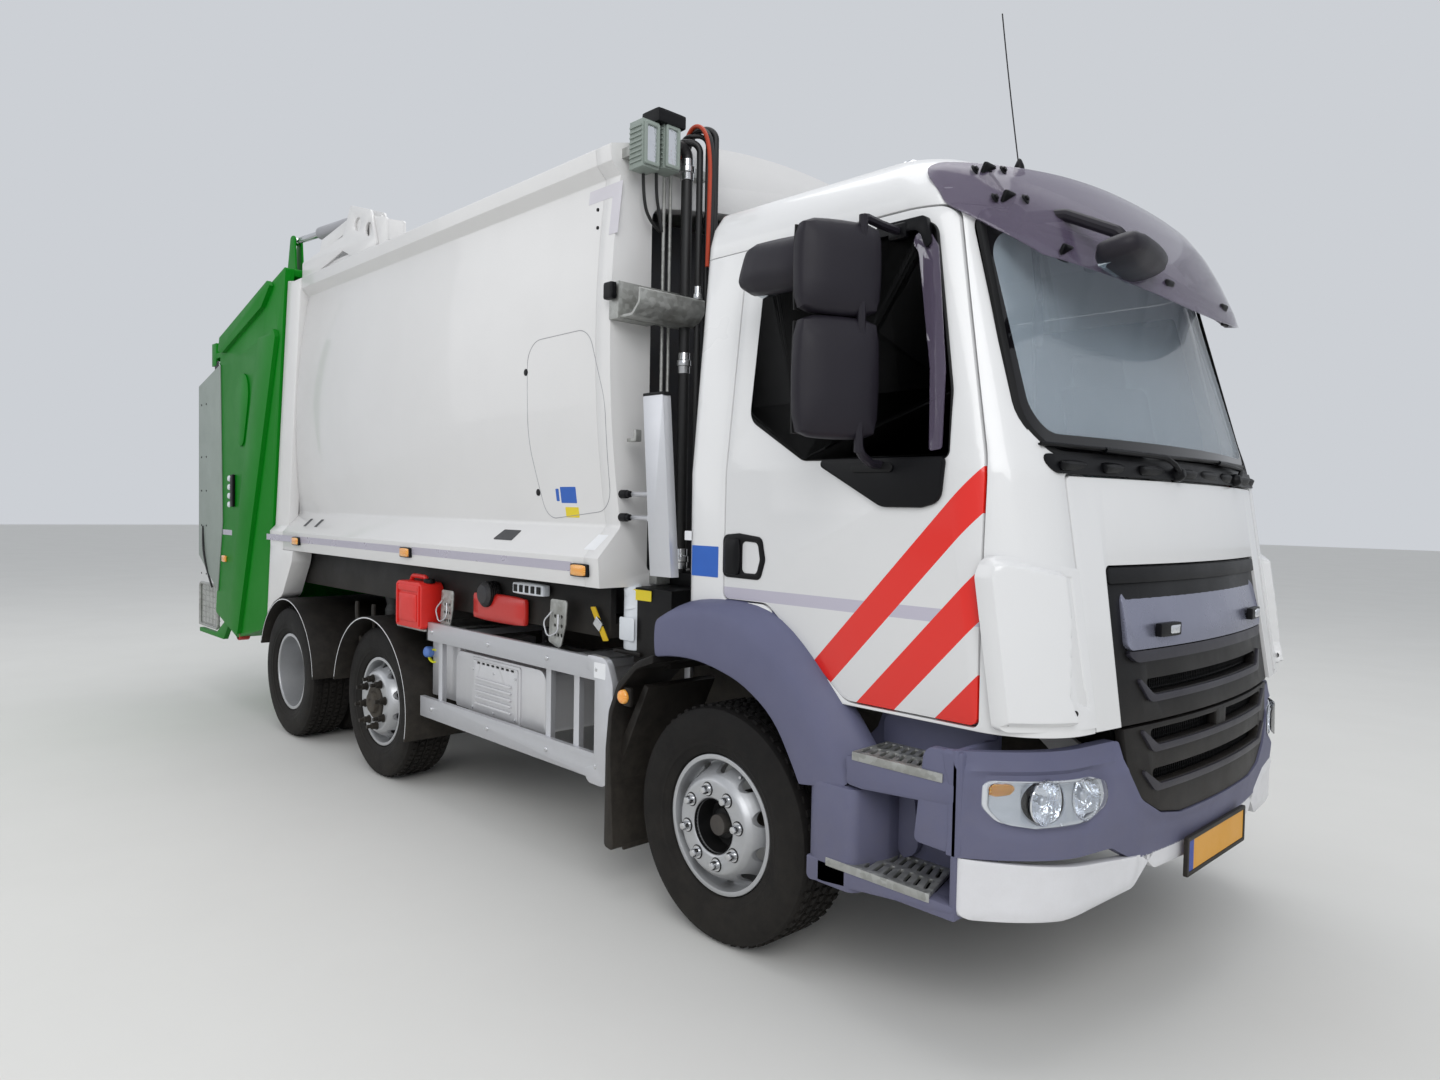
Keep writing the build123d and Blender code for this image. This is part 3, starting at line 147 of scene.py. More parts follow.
# Two-pack lorry enamel, sprayed: neutral white, glossy, faint orange peel
cab_enamel = coat("sprayed_enamel_warm_white", "#DEDEDE", "#D5D5D5", 0.32, grain=6, relief=0.03, patch=900,
                  gloss=0.6, dust=0.25)
body_enamel = coat("sprayed_enamel_body_white", "#DBDAD9", "#D0CFCE", 0.36, grain=9, relief=0.05,
                   patch=700, gloss=0.35, dust=0.3)
# Injection-moulded polypropylene: violet grey down to black, satin, with a fine leather grain
violet_plastic = coat("moulded_polypropylene_grey", "#5E607B", "#54566F", 0.5, shine=0.35, grain=2.2,
                      relief=0.25, patch=260, dust=0.35)
lip_plastic = coat("moulded_polypropylene_lip", "#2B2A33", "#25242C", 0.42, shine=0.35, grain=2.0,
                   relief=0.15, patch=200, dust=0.2)
mirror_plastic = coat("moulded_polypropylene_dark", "#1F1C24", "#1A171E", 0.48, shine=0.3, grain=2.0,
                      relief=0.28, patch=180)
black_plastic = coat("moulded_polypropylene_black", "#060609", "#0A0A0D", 0.42, shine=0.2, grain=2.0,
                     relief=0.2, patch=200, dust=0.3)
# Two-pack chassis paint over steel, sprayed: near black, satin, the dustiest finish
chassis_paint = coat("sprayed_chassis_paint", "#0D0D0F", "#141416", 0.5, shine=0.2, grain=5, relief=0.12,
                     patch=220, dust=0.7)
# Cast iron under thin paint: dark, dull, with brown patches and a rough skin
cast_iron = coat("cast_iron_painted", "#35363A", "#4A423C", 0.6, metallic=0.4, grain=4, relief=0.4,
                 patch=90, dust=0.6)
# Rubber, vulcanised or extruded: near black and dull; the tyres hold a little grey dust
tyre_rubber = coat("vulcanised_tyre_rubber", "#08080A", "#0C0C0F", 0.66, shine=0.2, grain=2.5, relief=0.35,
                   patch=120, dust=0.12)
seal_rubber = coat("extruded_seal_rubber", "#070708", "#0D0D0E", 0.55, shine=0.3, grain=1.5, relief=0.2,
                   patch=150)
hose_rubber = coat("extruded_hose_rubber", "#141415", "#1E1D1D", 0.5, grain=1.5, relief=0.25, patch=60)
# Steel wheel in silver lacquer: metallic flake, soft highlight
wheel_lacquer = coat("silver_wheel_lacquer", "#C0C2C5", "#AFB1B4", 0.34, metallic=0.75, grain=1.2,
                     relief=0.1, patch=140, gloss=0.3, dust=0.35)
# Plated steel: bright and nearly mirror smooth
bare_bright = coat("bright_plated_steel", "#CFD0D2", "#B9BABC", 0.2, metallic=1.0, grain=2, relief=0.05,
                   patch=60)
# Extruded aluminium, mill finish with draw lines along x
drawn_aluminium = coat("extruded_aluminium_mill_finish", "#CFD0D4", "#C0C1C5", 0.4, metallic=0.6,
                       grain=2.2, relief=0.16, patch=260, stretch=(0.05, 1, 1), dust=0.2)
# Pressed aluminium sheet, brushed upright: soft vertical streaks
brushed_aluminium = coat("brushed_aluminium_sheet", "#D8D8DA", "#C6C6C9", 0.42, metallic=0.6, grain=2.4,
                         relief=0.2, patch=200, stretch=(1, 1, 0.05), dust=0.2)
# Sprayed enamel in signal colours: flat, deep green and a glossier red
green_enamel = coat("sprayed_enamel_green", "#007A12", "#006A0E", 0.42, shine=0.12, grain=7, relief=0.04,
                    patch=600, dust=0.05)
red_enamel = coat("sprayed_enamel_red", "#C11B12", "#A8160F", 0.38, grain=5, relief=0.08, patch=200,
                  gloss=0.2, dust=0.3)
# Powder-coated steel sheet, grey-green: fine orange peel, satin
screen_coat = coat("powder_coated_grey_green", "#8C968F", "#7E8881", 0.5, grain=3, relief=0.15, patch=220,
                   dust=0.2)
# Blow-moulded polyethylene: waxy sheen with slight flow marks
jerrycan_plastic = coat("blow_moulded_polyethylene_red", "#D8231B", "#C41D16", 0.42, grain=3, relief=0.12,
                        patch=90)
bottle_plastic = coat("blow_moulded_polyethylene_white", "#DDE1E6", "#CDD2D8", 0.42, grain=3, relief=0.1,
                      patch=90)
# Painted plastic: cool white, glossy
apron_plastic = coat("painted_plastic_white", "#DDDDE0", "#D4D4D7", 0.34, grain=6, relief=0.05, patch=500,
                     gloss=0.4, dust=0.3)
# Moulded bar in metallic paint: silver violet with a soft sheen
emblem_plastic = coat("satin_moulded_bar_grey", "#8A8C9E", "#808294", 0.28, metallic=0.6, grain=2,
                      relief=0.1, patch=200)
# Woven seat cloth: dark blue grey, dull, threads showing
seat_cloth = coat("woven_seat_cloth", "#2A2D33", "#363A42", 0.85, grain=1.6, relief=0.7, patch=60)
# Dashboard skin: mid grey, dull, leather grain
cab_trim = coat("moulded_dashboard_trim", "#4A4C50", "#3F4145", 0.6, grain=2.2, relief=0.3, patch=300)
# Woven polyester strap: strong yellow, dull, ribbed
yellow_strap = coat("woven_polyester_strap", "#D8B312", "#C09A0A", 0.7, grain=2, relief=0.4, patch=60)
# Thermoplastic hose: rusty orange, satin
orange_hose = coat("thermoplastic_hose_orange", "#B23A16", "#8E2C10", 0.45, grain=2, relief=0.2, patch=80)
# Moulded caps: plain blue and lemon, satin
blue_plastic = coat("moulded_cap_blue", "#5B7FC4", "#4E71B5", 0.4, grain=2, relief=0.1, patch=60)
yellow_plastic = coat("moulded_ring_yellow", "#D9D816", "#C6C410", 0.42, grain=2, relief=0.1, patch=60)
# Reflective number plate sheeting: deep yellow and blue with a fine bead grain
plate_yellow = coat("reflective_plate_sheeting", "#DB9A08", "#CF8F06", 0.4, grain=1.4, relief=0.25,
                    patch=160)
plate_blue = coat("reflective_plate_band", "#1E3E9A", "#1A378A", 0.4, grain=1.4, relief=0.25, patch=160)
# Printed vinyl: even colour under a smooth film
sticker_blue = coat("printed_vinyl_blue", "#1C5CB8", "#1A55AB", 0.35, grain=3, relief=0.04, patch=120)
sticker_white = coat("printed_vinyl_white", "#E9EAEC", "#DDDEE0", 0.35, grain=3, relief=0.04, patch=120)
sticker_yellow = coat("printed_vinyl_yellow", "#E6CF1C", "#DDC518", 0.35, grain=3, relief=0.04, patch=120)
sticker_black = coat("printed_vinyl_charcoal", "#3A3A3C", "#333335", 0.45, grain=3, relief=0.06, patch=120)
# Cloth-backed repair tape: pale grey, its weave just showing
grey_tape = coat("cloth_backed_tape_grey", "#CFCCD2", "#C5C2C9", 0.45, grain=3, relief=0.15, patch=120)
# Retro-reflective tape: pale grey with a faint prism grain
reflex_tape = coat("retroreflective_tape_silver", "#BDB9C6", "#B2AEBB", 0.3, metallic=0.35, grain=4,
                   relief=0.35, patch=200)


def galvanised():
    """Hot-dip galvanised steel: pale grey zinc spangles about 18 mm across, each with its own sheen."""
    finish, tree = new_finish("hot_dip_galvanised_steel")
    place = add(tree, "ShaderNodeTexCoord").outputs["Object"]
    spangle = add(tree, "ShaderNodeTexVoronoi", Vector=place, Scale=55.0)
    grey = add(tree, "ShaderNodeSeparateColor", Color=spangle.outputs["Color"]).outputs[0]
    mottle = add(tree, "ShaderNodeTexNoise", Vector=place, Scale=9.0, Detail=5.0)
    base = add(tree, "ShaderNodeMix", {"data_type": "RGBA"}, _0=grey, _6=srgb("#9B9C98"),
               _7=srgb("#B5B6B3")).outputs[2]
    stain = add(tree, "ShaderNodeMapRange", Value=mottle.outputs[0], From_Min=0.5, From_Max=0.8,
                To_Max=0.5)
    base = add(tree, "ShaderNodeMix", {"data_type": "RGBA"}, _0=stain.outputs[0], _6=base,
               _7=srgb("#6E6B62")).outputs[2]
    sheen = add(tree, "ShaderNodeMapRange", Value=grey, To_Min=0.36, To_Max=0.6)
    bump = add(tree, "ShaderNodeBump", Strength=0.15, Distance=0.002, Height=mottle.outputs[0])
    shader = add(tree, "ShaderNodeBsdfPrincipled", Base_Color=base, Roughness=sheen.outputs[0],
                 Metallic=0.7, Normal=bump.outputs[0])
    close_finish(tree, shader.outputs[0])
    return finish


# How far the door stripes rise for each metre forwards
STRIPE_SLOPE = 1.06


def striped_enamel():
    """The doors' enamel under signal-red diagonal stripes and a pale reflective band of cut vinyl."""
    finish, tree = new_finish("enamel_with_vinyl_stripes")
    place = add(tree, "ShaderNodeTexCoord").outputs["Object"]
    xyz = add(tree, "ShaderNodeSeparateXYZ", Vector=place)
    lean = add(tree, "ShaderNodeMath", {"operation": "MULTIPLY_ADD"}, _0=xyz.outputs[0], _1=-STRIPE_SLOPE,
               _2=AHEAD / 1000 * STRIPE_SLOPE)
    across = add(tree, "ShaderNodeMath", {"operation": "ADD"}, _0=lean.outputs[0],
                 _1=xyz.outputs[2]).outputs[0]
    red = None
    # Low and high edge of each stripe at the front axle, in metres
    for low, high in ((0.514, 0.658), (0.192, 0.350), (-0.20, 0.033)):
        middle, half = (low + high) / 2, (high - low) / 2
        band = add(tree, "ShaderNodeMath", {"operation": "COMPARE"}, _0=across, _1=middle,
                   _2=half).outputs[0]
        red = band if red is None else add(tree, "ShaderNodeMath", {"operation": "MAXIMUM"}, _0=red,
                                           _1=band).outputs[0]
    tape = add(tree, "ShaderNodeMath", {"operation": "COMPARE"}, _0=xyz.outputs[2], _1=1.311,
               _2=0.021).outputs[0]
    slow = add(tree, "ShaderNodeTexNoise", Vector=place, Scale=1.2, Detail=3.0)
    white = add(tree, "ShaderNodeMix", {"data_type": "RGBA"}, _0=slow.outputs[0], _6=srgb("#DEDEDE"),
                _7=srgb("#D5D5D5")).outputs[2]
    banded = add(tree, "ShaderNodeMix", {"data_type": "RGBA"}, _0=tape, _6=white,
                 _7=srgb("#BAB6C4")).outputs[2]
    tint = add(tree, "ShaderNodeMix", {"data_type": "RGBA"}, _0=red, _6=banded,
               _7=srgb("#DE1600")).outputs[2]
    peel = add(tree, "ShaderNodeTexNoise", Vector=place, Scale=pitch(6.25), Detail=2.0)
    bump = add(tree, "ShaderNodeBump", Strength=0.03, Distance=0.006, Height=peel.outputs[0])
    rough = add(tree, "ShaderNodeMapRange", Value=slow.outputs[0], To_Min=0.26, To_Max=0.38)
    shader = add(tree, "ShaderNodeBsdfPrincipled", Base_Color=tint, Roughness=rough.outputs[0],
                 Coat_Weight=0.5, Coat_Roughness=0.06, Normal=bump.outputs[0])
    close_finish(tree, shader.outputs[0])
    return finish


def clear_glass(name, tint, roughness=0.02, cover=1.0, through=1.0):
    """Glass or clear plastic seen through: tinted, smooth, with faint wiped smears in its gloss."""
    finish, tree = new_finish(name)
    place = add(tree, "ShaderNodeTexCoord").outputs["Object"]
    smear = add(tree, "ShaderNodeTexNoise", Vector=place, Scale=3.0, Detail=5.0)
    rough = add(tree, "ShaderNodeMapRange", Value=smear.outputs[0], To_Min=roughness,
                To_Max=roughness + 0.06)
    shader = add(tree, "ShaderNodeBsdfPrincipled", Base_Color=srgb(tint), Roughness=rough.outputs[0],
                 Transmission_Weight=through, IOR=1.5, Alpha=cover)
    close_finish(tree, shader.outputs[0])
    return finish


def windscreen_glass():
    """Laminated glass with a black ceramic border printed round its edge, about 60 mm wide; its pale,
    half-opaque pane colour is a painted reflection of the sky.
    """
    finish, tree = new_finish("laminated_glass_painted_sky_with_frit")
    place = add(tree, "ShaderNodeTexCoord").outputs["Object"]
    xyz = add(tree, "ShaderNodeSeparateXYZ", Vector=place)
    side = add(tree, "ShaderNodeMath", {"operation": "ABSOLUTE"}, _0=xyz.outputs[1]).outputs[0]
    up = add(tree, "ShaderNodeMath", {"operation": "SUBTRACT"}, _0=xyz.outputs[2], _1=2.19).outputs[0]
    side = add(tree, "ShaderNodeMath", {"operation": "MULTIPLY_ADD"}, _0=up, _1=0.052, _2=side).outputs[0]
    up = add(tree, "ShaderNodeMath", {"operation": "ABSOLUTE"}, _0=up).outputs[0]
    # Distance past the straight part of the border's inner edge, which has round corners
    corner = 0.11
    out = []
    for value, limit in ((side, 0.872 - corner), (up, 0.325 - corner)):
        past = add(tree, "ShaderNodeMath", {"operation": "SUBTRACT"}, _0=value, _1=limit).outputs[0]
        past = add(tree, "ShaderNodeMath", {"operation": "MAXIMUM"}, _0=past, _1=0.0).outputs[0]
        out.append(add(tree, "ShaderNodeMath", {"operation": "MULTIPLY"}, _0=past, _1=past).outputs[0])
    total = add(tree, "ShaderNodeMath", {"operation": "ADD"}, _0=out[0], _1=out[1]).outputs[0]
    border = add(tree, "ShaderNodeMath", {"operation": "GREATER_THAN"}, _0=total,
                 _1=corner * corner).outputs[0]
    smear = add(tree, "ShaderNodeTexNoise", Vector=place, Scale=pitch(400), Detail=5.0)
    rough = add(tree, "ShaderNodeMapRange", Value=smear.outputs[0], To_Min=0.02, To_Max=0.07)
    # Pale blue-grey at part opacity: a painted sky reflection on the glass
    sky_sheen_pane = add(tree, "ShaderNodeBsdfPrincipled", Base_Color=srgb("#C3D2DE"), Roughness=rough.outputs[0],
               Transmission_Weight=0.35, IOR=1.5, Alpha=0.42)
    frit = add(tree, "ShaderNodeBsdfPrincipled", Base_Color=srgb("#0C0B0E"), Roughness=rough.outputs[0])
    both = add(tree, "ShaderNodeMixShader", _0=border, _1=sky_sheen_pane.outputs[0], _2=frit.outputs[0])
    close_finish(tree, both.outputs[0])
    return finish


def ribbed_lens(name, tint, bright, width):
    """Injection-moulded acrylic lamp lens: clear colour with a checker of lighter squares width mm apart,
    painted highlights standing in for its moulded prism facets.
    """
    finish, tree = new_finish(name)
    place = add(tree, "ShaderNodeTexCoord").outputs["Object"]
    glint_checker = add(tree, "ShaderNodeTexChecker", Vector=place, Scale=pitch(width))
    soft = add(tree, "ShaderNodeTexNoise", Vector=place, Scale=pitch(width / 2), Detail=1.0)
    bump = add(tree, "ShaderNodeBump", Strength=0.25, Distance=0.002, Height=soft.outputs[0])
    tone = add(tree, "ShaderNodeMix", {"data_type": "RGBA"}, _0=glint_checker.outputs[1], _6=srgb(tint),
               _7=srgb(bright)).outputs[2]
    shader = add(tree, "ShaderNodeBsdfPrincipled", Base_Color=tone, Roughness=0.12, Coat_Weight=1.0,
                 Coat_Roughness=0.03, Normal=bump.outputs[0], Subsurface_Weight=0.2)
    close_finish(tree, shader.outputs[0])
    return finish


# Zinc, door stripes, and clear panes: they are partly transparent, so that the inside shows dimly
zinc = galvanised()
stripes = striped_enamel()
screen_glass = windscreen_glass()
door_glass = clear_glass("tempered_glass_green_tint", "#8FA2A8", 0.02, 0.5, 0.0)
lamp_lens = clear_glass("clear_polycarbonate_lens", "#F4F7FA", 0.01)
smoked = clear_glass("smoked_acrylic_sheet", "#6A6075", 0.03, 0.62, 0.2)
# Silvered and metallised surfaces: they mirror what is round them, the bowls less evenly
mirror_face = coat("silvered_mirror_glass", "#B9C2C8", "#AEB7BD", 0.03, metallic=1.0, grain=40,
                   relief=0.01, patch=300, gleam=0.02)
chrome_bowl = coat("vacuum_metallised_reflector", "#E2E4E8", "#D2D4D9", 0.08, metallic=1.0, grain=9,
                   relief=0.35, patch=40, gleam=0.04)
# Stoved enamel: pale grey, satin; the same grey paints the shade line in the body's hatch seam
grey_enamel_and_seam_shade = coat("stoved_enamel_pale_grey_and_seam_shade", "#9A9A9E", "#8E8E92", 0.34, grain=9, relief=0.05,
                        patch=400, shine=0.35)
# Metallic paint on the lamps' inner plate: light silver, soft sheen
lamp_bezel = coat("moulded_lamp_bezel_silver", "#DADDE2", "#CBCED3", 0.24, metallic=0.6, grain=3,
                  relief=0.1, patch=60)
# Amber acrylic: bright, with painted highlights where its prism facets catch the light
amber_lens = ribbed_lens("moulded_acrylic_amber", "#F08A0C", "#FFB85C", 5)
# Greased bore and black wire mesh, both near black; the same dark also paints shade in the hub's bore, in the
# nut wells, on the sheet behind the grille and under the step treads
hub_grease_and_shade = coat("greased_hub_bore_and_shade", "#101011", "#1B1917", 0.5, metallic=0.2, grain=3, relief=0.3, patch=60)
black_mesh_and_shade = coat("pressed_steel_mesh_black_and_painted_shade", "#030304", "#070708", 0.6, shine=0.2, grain=3, relief=0.3,
                 patch=80)


# Making pieces

SMOOTH_ANGLE = math.radians(32)


def plain_mesh(obj):
    """An object's mesh with its modifiers done."""
    depsgraph = bpy.context.evaluated_depsgraph_get()
    return bpy.data.meshes.new_from_object(obj.evaluated_get(depsgraph), depsgraph=depsgraph)


def settle(obj, body, slot, *replaced):
    """Turns an object's modifiers into plain mesh, parents it to its body's empty and hides the CAD parts it
    replaces.
    """
    mesh = plain_mesh(obj)
    obj.modifiers.clear()
    obj.data = mesh
    mesh.shade_smooth()
    mesh.set_sharp_from_angle(angle=SMOOTH_ANGLE)
    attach(obj, body)
    if replaced:
        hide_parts(*replaced)
    return obj


def settle_all(name, pieces, body, slot, *replaced):
    """Joins the pieces and settles them as one."""
    return settle(joined(name, pieces), body, slot, *replaced)


def shared(node, sign):
    """The CAD node that a left and a right piece replace together, named by the left one only."""
    return [node] if sign > 0 else []


def link(obj):
    """Puts an object into the scene."""
    bpy.context.scene.collection.objects.link(obj)
    return obj


def unlink(obj):
    """Takes a stamp's original out of the scene; its copies stay."""
    bpy.context.scene.collection.objects.unlink(obj)
    return obj


def new_object(name, mesh, finish=None):
    """An object in the scene round a mesh, with its finish."""
    obj = link(bpy.data.objects.new(name, mesh))
    if finish:
        mesh.materials.clear()
        mesh.materials.append(finish)
    return obj


def as_object(work, name, finish):
    """A bmesh as a new object."""
    mesh = bpy.data.meshes.new(name)
    work.to_mesh(mesh)
    work.free()
    return new_object(name, mesh, finish)


def closed_object(work, name, finish):
    """A closed bmesh as a new object, its normals outwards."""
    bmesh.ops.recalc_face_normals(work, faces=work.faces)
    return as_object(work, name, finish)


def smoothed(obj):
    """Adds one level of subdivision."""
    smooth = obj.modifiers.new("smooth", "SUBSURF")
    smooth.levels = smooth.render_levels = 1
    return obj


def bevelled(obj, width, segments=2, angle=35):
    """Rounds the edges that are sharper than the angle, width mm wide."""
    modifier = obj.modifiers.new("edge", "BEVEL")
    modifier.width = width / 1000
    modifier.segments = segments
    modifier.limit_method = "ANGLE"
    modifier.angle_limit = math.radians(angle)
    modifier.use_clamp_overlap = True
    return obj


def cad_copy(node, finish):
    """A CAD solid's mesh with its doubles merged and its flats dissolved, as a new object."""
    work = bmesh.new()
    work.from_mesh(nodes[node].data)
    bmesh.ops.remove_doubles(work, verts=work.verts, dist=0.00003)
    bmesh.ops.dissolve_limit(work, angle_limit=math.radians(0.4), verts=work.verts, edges=work.edges)
    obj = as_object(work, node + "_skin", finish)
    if "custom_normal" in obj.data.attributes:
        obj.data.attributes.remove(obj.data.attributes["custom_normal"])
    return obj


def parts_in(obj, finish, low, high):
    """Gives another finish to the loose parts of a piece whose middle is inside a box, in mm."""
    obj.data.materials.append(finish)
    index = len(obj.data.materials) - 1
    lo, hi = spot(*low), spot(*high)
    work = bmesh.new()
    work.from_mesh(obj.data)
    seen = set()
    for first in work.faces:
        if first.index in seen:
            continue
        island, queue = [], [first]
        seen.add(first.index)
        while queue:
            face = queue.pop()
            island.append(face)
            for edge in face.edges:
                for other in edge.link_faces:
                    if other.index not in seen:
                        seen.add(other.index)
                        queue.append(other)
        points = [v.co for face in island for v in face.verts]
        middle = [(min(p[i] for p in points) + max(p[i] for p in points)) / 2 for i in range(3)]
        if all(lo[i] <= middle[i] <= hi[i] for i in range(3)):
            for face in island:
                face.material_index = index
    work.to_mesh(obj.data)
    work.free()
    return obj


def dress(node, finish, edge=0.0, others=()):
    """Stands a clean, edge-rounded copy in for a CAD solid."""
    obj = cad_copy(node, finish)
    for other, low, high in others:
        parts_in(obj, other, low, high)
    if edge:
        bevelled(obj, edge)
    return settle(obj, body_of[node], slot_of[node], node)


def box(u0, u1, v0, v1, *radius):
    """A rectangle's corners, each with the radius if one is given."""
    return [(u0, v0, *radius), (u1, v0, *radius), (u1, v1, *radius), (u0, v1, *radius)]


def ring(u, v, radius, count, other=None):
    """Points round a circle, or round an ellipse that is radius wide and other high."""
    return [(u + radius * math.cos(a), v + (other or radius) * math.sin(a))
            for a in (2 * math.pi * k / count for k in range(count))]


def corner_arc(here, into, out, turn, radius, tangent, steps=5):
    """Points of the arc that takes a corner's place, from tangent mm before it to tangent mm after it."""
    centre = here + (out - into).normalized() * (radius / math.cos(turn / 2))
    start, end = here - into * tangent - centre, here + out * tangent - centre
    rays = (start * math.sin((1 - k / steps) * turn) + end * math.sin(k / steps * turn)
            for k in range(steps + 1))
    return [centre + ray / math.sin(turn) for ray in rays]


def rounded(corners, steps=5):
    """A polygon (u, v[, radius]) with its corners rounded, as a list of points."""
    result = []
    for i, corner in enumerate(corners):
        here = Vector(corner[:2])
        radius = corner[2] if len(corner) > 2 else 0
        before, after = Vector(corners[i - 1][:2]), Vector(corners[(i + 1) % len(corners)][:2])
        into, out = (here - before).normalized(), (after - here).normalized()
        turn = into.angle(out) if into.length and out.length else 0
        if radius <= 0 or turn < 0.02:
            result.append(here)
        else:
            result += corner_arc(here, into, out, turn, radius, radius * math.tan(turn / 2), steps)
    return result


def place_point(axis, u, v, at):
    """A point of a flat outline that stands square to axis."""
    return {"x": (at, u, v), "y": (u, at, v), "z": (u, v, at)}[axis]


def plate(name, corners, axis, low, high, finish, holes=(), edge=0.0, steps=5, bend=None, cut=0, cross=0):
    """A plate of the corners' outline between two planes square to axis, with holes, in mm.

    bend moves each point, after slices cut mm apart along y and cross mm apart along z.
    """
    work = bmesh.new()
    loops = []
    for ring_corners in (corners, *holes):
        points = [work.verts.new(place_point(axis, p[0], p[1], low)) for p in rounded(ring_corners, steps)]
        loops += [work.edges.new((points[i - 1], points[i])) for i in range(len(points))]
    filled = bmesh.ops.triangle_fill(work, use_beauty=True, use_dissolve=False, edges=loops)
    faces = [g for g in filled["geom"] if isinstance(g, bmesh.types.BMFace)]
    raised = bmesh.ops.extrude_face_region(work, geom=faces)
    push = Vector(place_point(axis, 0, 0, high - low))
    bmesh.ops.translate(work, vec=push, verts=[g for g in raised["geom"]
                                               if isinstance(g, bmesh.types.BMVert)])
    bmesh.ops.dissolve_limit(work, angle_limit=0.01, verts=work.verts, edges=work.edges)
    if cut:
        slice_along(work, cut)
    if cross:
        slice_along(work, cross, 2)
    for vert in work.verts:
        here = vert.co.copy()
        vert.co = spot(*(bend(here) if bend else here))
    obj = closed_object(work, name, finish)
    return bevelled(obj, edge) if edge else obj


def slice_along(work, step, axis=1):
    """Cuts a mesh by parallel planes so that it can be bent smoothly."""
    low = min(v.co[axis] for v in work.verts)
    high = max(v.co[axis] for v in work.verts)
    normal = Vector((axis == 0, axis == 1, axis == 2))
    at = math.ceil(low / step) * step
    while at < high:
        bmesh.ops.bisect_plane(work, geom=work.verts[:] + work.edges[:] + work.faces[:], dist=0.001,
                               plane_co=normal * at, plane_no=normal)
        at += step


def tube(name, points, radius, finish, closed=False, corner=None, sides=10):
    """A pipe or hose through points in mm; corner gives bends of that radius, none gives a smooth curve."""
    curve = bpy.data.curves.new(name, "CURVE")
    curve.dimensions = "3D"
    curve.bevel_depth = radius / 1000
    curve.bevel_resolution = max(1, sides // 4)
    curve.use_fill_caps = True
    if corner is None:
        line = curve.splines.new("NURBS")
        path = [Vector(p) for p in points]
    else:
        line = curve.splines.new("POLY")
        path = bent_path([Vector(p) for p in points], corner)
    line.points.add(len(path) - 1)
    for point, co in zip(line.points, path):
        point.co = (*spot(*co), 1)
    line.order_u = 3
    line.use_endpoint_u = True
    line.use_cyclic_u = closed
    line.resolution_u = 8
    holder = link(bpy.data.objects.new(name, curve))
    mesh = plain_mesh(holder)
    bpy.data.objects.remove(holder)
    return new_object(name, mesh, finish)


def bent_path(path, radius):
    """A path with round bends in place of its inner corners."""
    result = [path[0]]
    for before, here, after in zip(path, path[1:], path[2:]):
        into, out = (here - before).normalized(), (after - here).normalized()
        turn = into.angle(out)
        if turn >= 0.02:
            tangent = min(radius * math.tan(turn / 2), 0.49 * (here - before).length,
                          0.49 * (after - here).length)
            result += corner_arc(here, into, out, turn, tangent / math.tan(turn / 2), tangent)
    return result + [path[-1]]


def lathe(name, profile, centre, axis, finish, segments=64):
    """Turns (along, radius) points about a line through centre along axis, in mm."""
    work = bmesh.new()
    along = Vector(axis).normalized()
    side = along.orthogonal().normalized()
    other = along.cross(side)
    middle = Vector(centre)
    rings = []
    for distance, radius in profile:
        if radius < 0.01:
            rings.append([work.verts.new(middle + along * distance)])
            continue
        turns = (2 * math.pi * k / segments for k in range(segments))
        rays = ((side * math.cos(a) + other * math.sin(a)) * radius for a in turns)
        rings.append([work.verts.new(middle + along * distance + ray) for ray in rays])
    for first, second in zip(rings, rings[1:]):
        for k in range(segments):
            if len(first) == 1 and len(second) == 1:
                continue
            if len(first) == 1:
                corners = (first[0], second[k], second[(k + 1) % segments])
            elif len(second) == 1:
                corners = (first[k], second[0], first[(k + 1) % segments])
            else:
                corners = (first[k], second[k], second[(k + 1) % segments], first[(k + 1) % segments])
            work.faces.new(corners)
    for vert in work.verts:
        vert.co = spot(*vert.co)
    return closed_object(work, name, finish)


def soft_profile(points, radius=3.0):
    """Rounds the corners of a lathe profile."""
    result = [Vector(points[0])]
    for before, here, after in zip(points, points[1:], points[2:]):
        before, here, after = Vector(before), Vector(here), Vector(after)
        tangent = min(radius, 0.4 * (here - before).length, 0.4 * (after - here).length)
        start = here + (before - here).normalized() * tangent
        end = here + (after - here).normalized() * tangent
        result += [start, (start + end + here * 2) / 4, end]
    result.append(Vector(points[-1]))
    return [tuple(p) for p in result]


def soft_block(size, cuts, radius):
    """A box with round edges as a bmesh, and each vertex with its place in the unit cube and its point."""
    work = bmesh.new()
    bmesh.ops.create_cube(work, size=1.0)
    bmesh.ops.subdivide_edges(work, edges=work.edges[:], cuts=cuts, use_grid_fill=True)
    half = Vector(size) / 2
    placed = []
    for vert in work.verts:
        unit = vert.co * 2
        point = Vector(unit[i] * half[i] for i in range(3))
        inner = Vector(max(-half[i] + radius, min(half[i] - radius, point[i])) for i in range(3))
        away = point - inner
        if sum(abs(c) > 0.001 for c in away) > 1:
            point = inner + away.normalized() * radius
        placed.append((vert, unit, point))
    return work, placed


def bulge(unit, axis, power):
    """How far a face square to axis has risen at that place: 1 in its middle, 0 at its edges."""
    u, v = (unit[k] for k in range(3) if k != axis)
    return (1 - u ** power) * (1 - v ** power)


def housing(name, centre, size, finish, turn=(0, 0, 0), radius=20, crown=0.0):
    """A moulded box with round edges and slightly crowned faces; size is full lengths in mm."""
    work, placed = soft_block(size, 5, radius)
    around = [Matrix.Rotation(math.radians(angle), 3, axis) for angle, axis in zip(turn, "XYZ")]
    spin = around[2] @ around[1] @ around[0]
    for vert, unit, point in placed:
        for i in range(3):
            if abs(unit[i]) > 0.99:
                point[i] += math.copysign(crown * bulge(unit, i, 2), unit[i])
        vert.co = spot(*(spin @ point + Vector(centre)))
    return closed_object(work, name, finish)


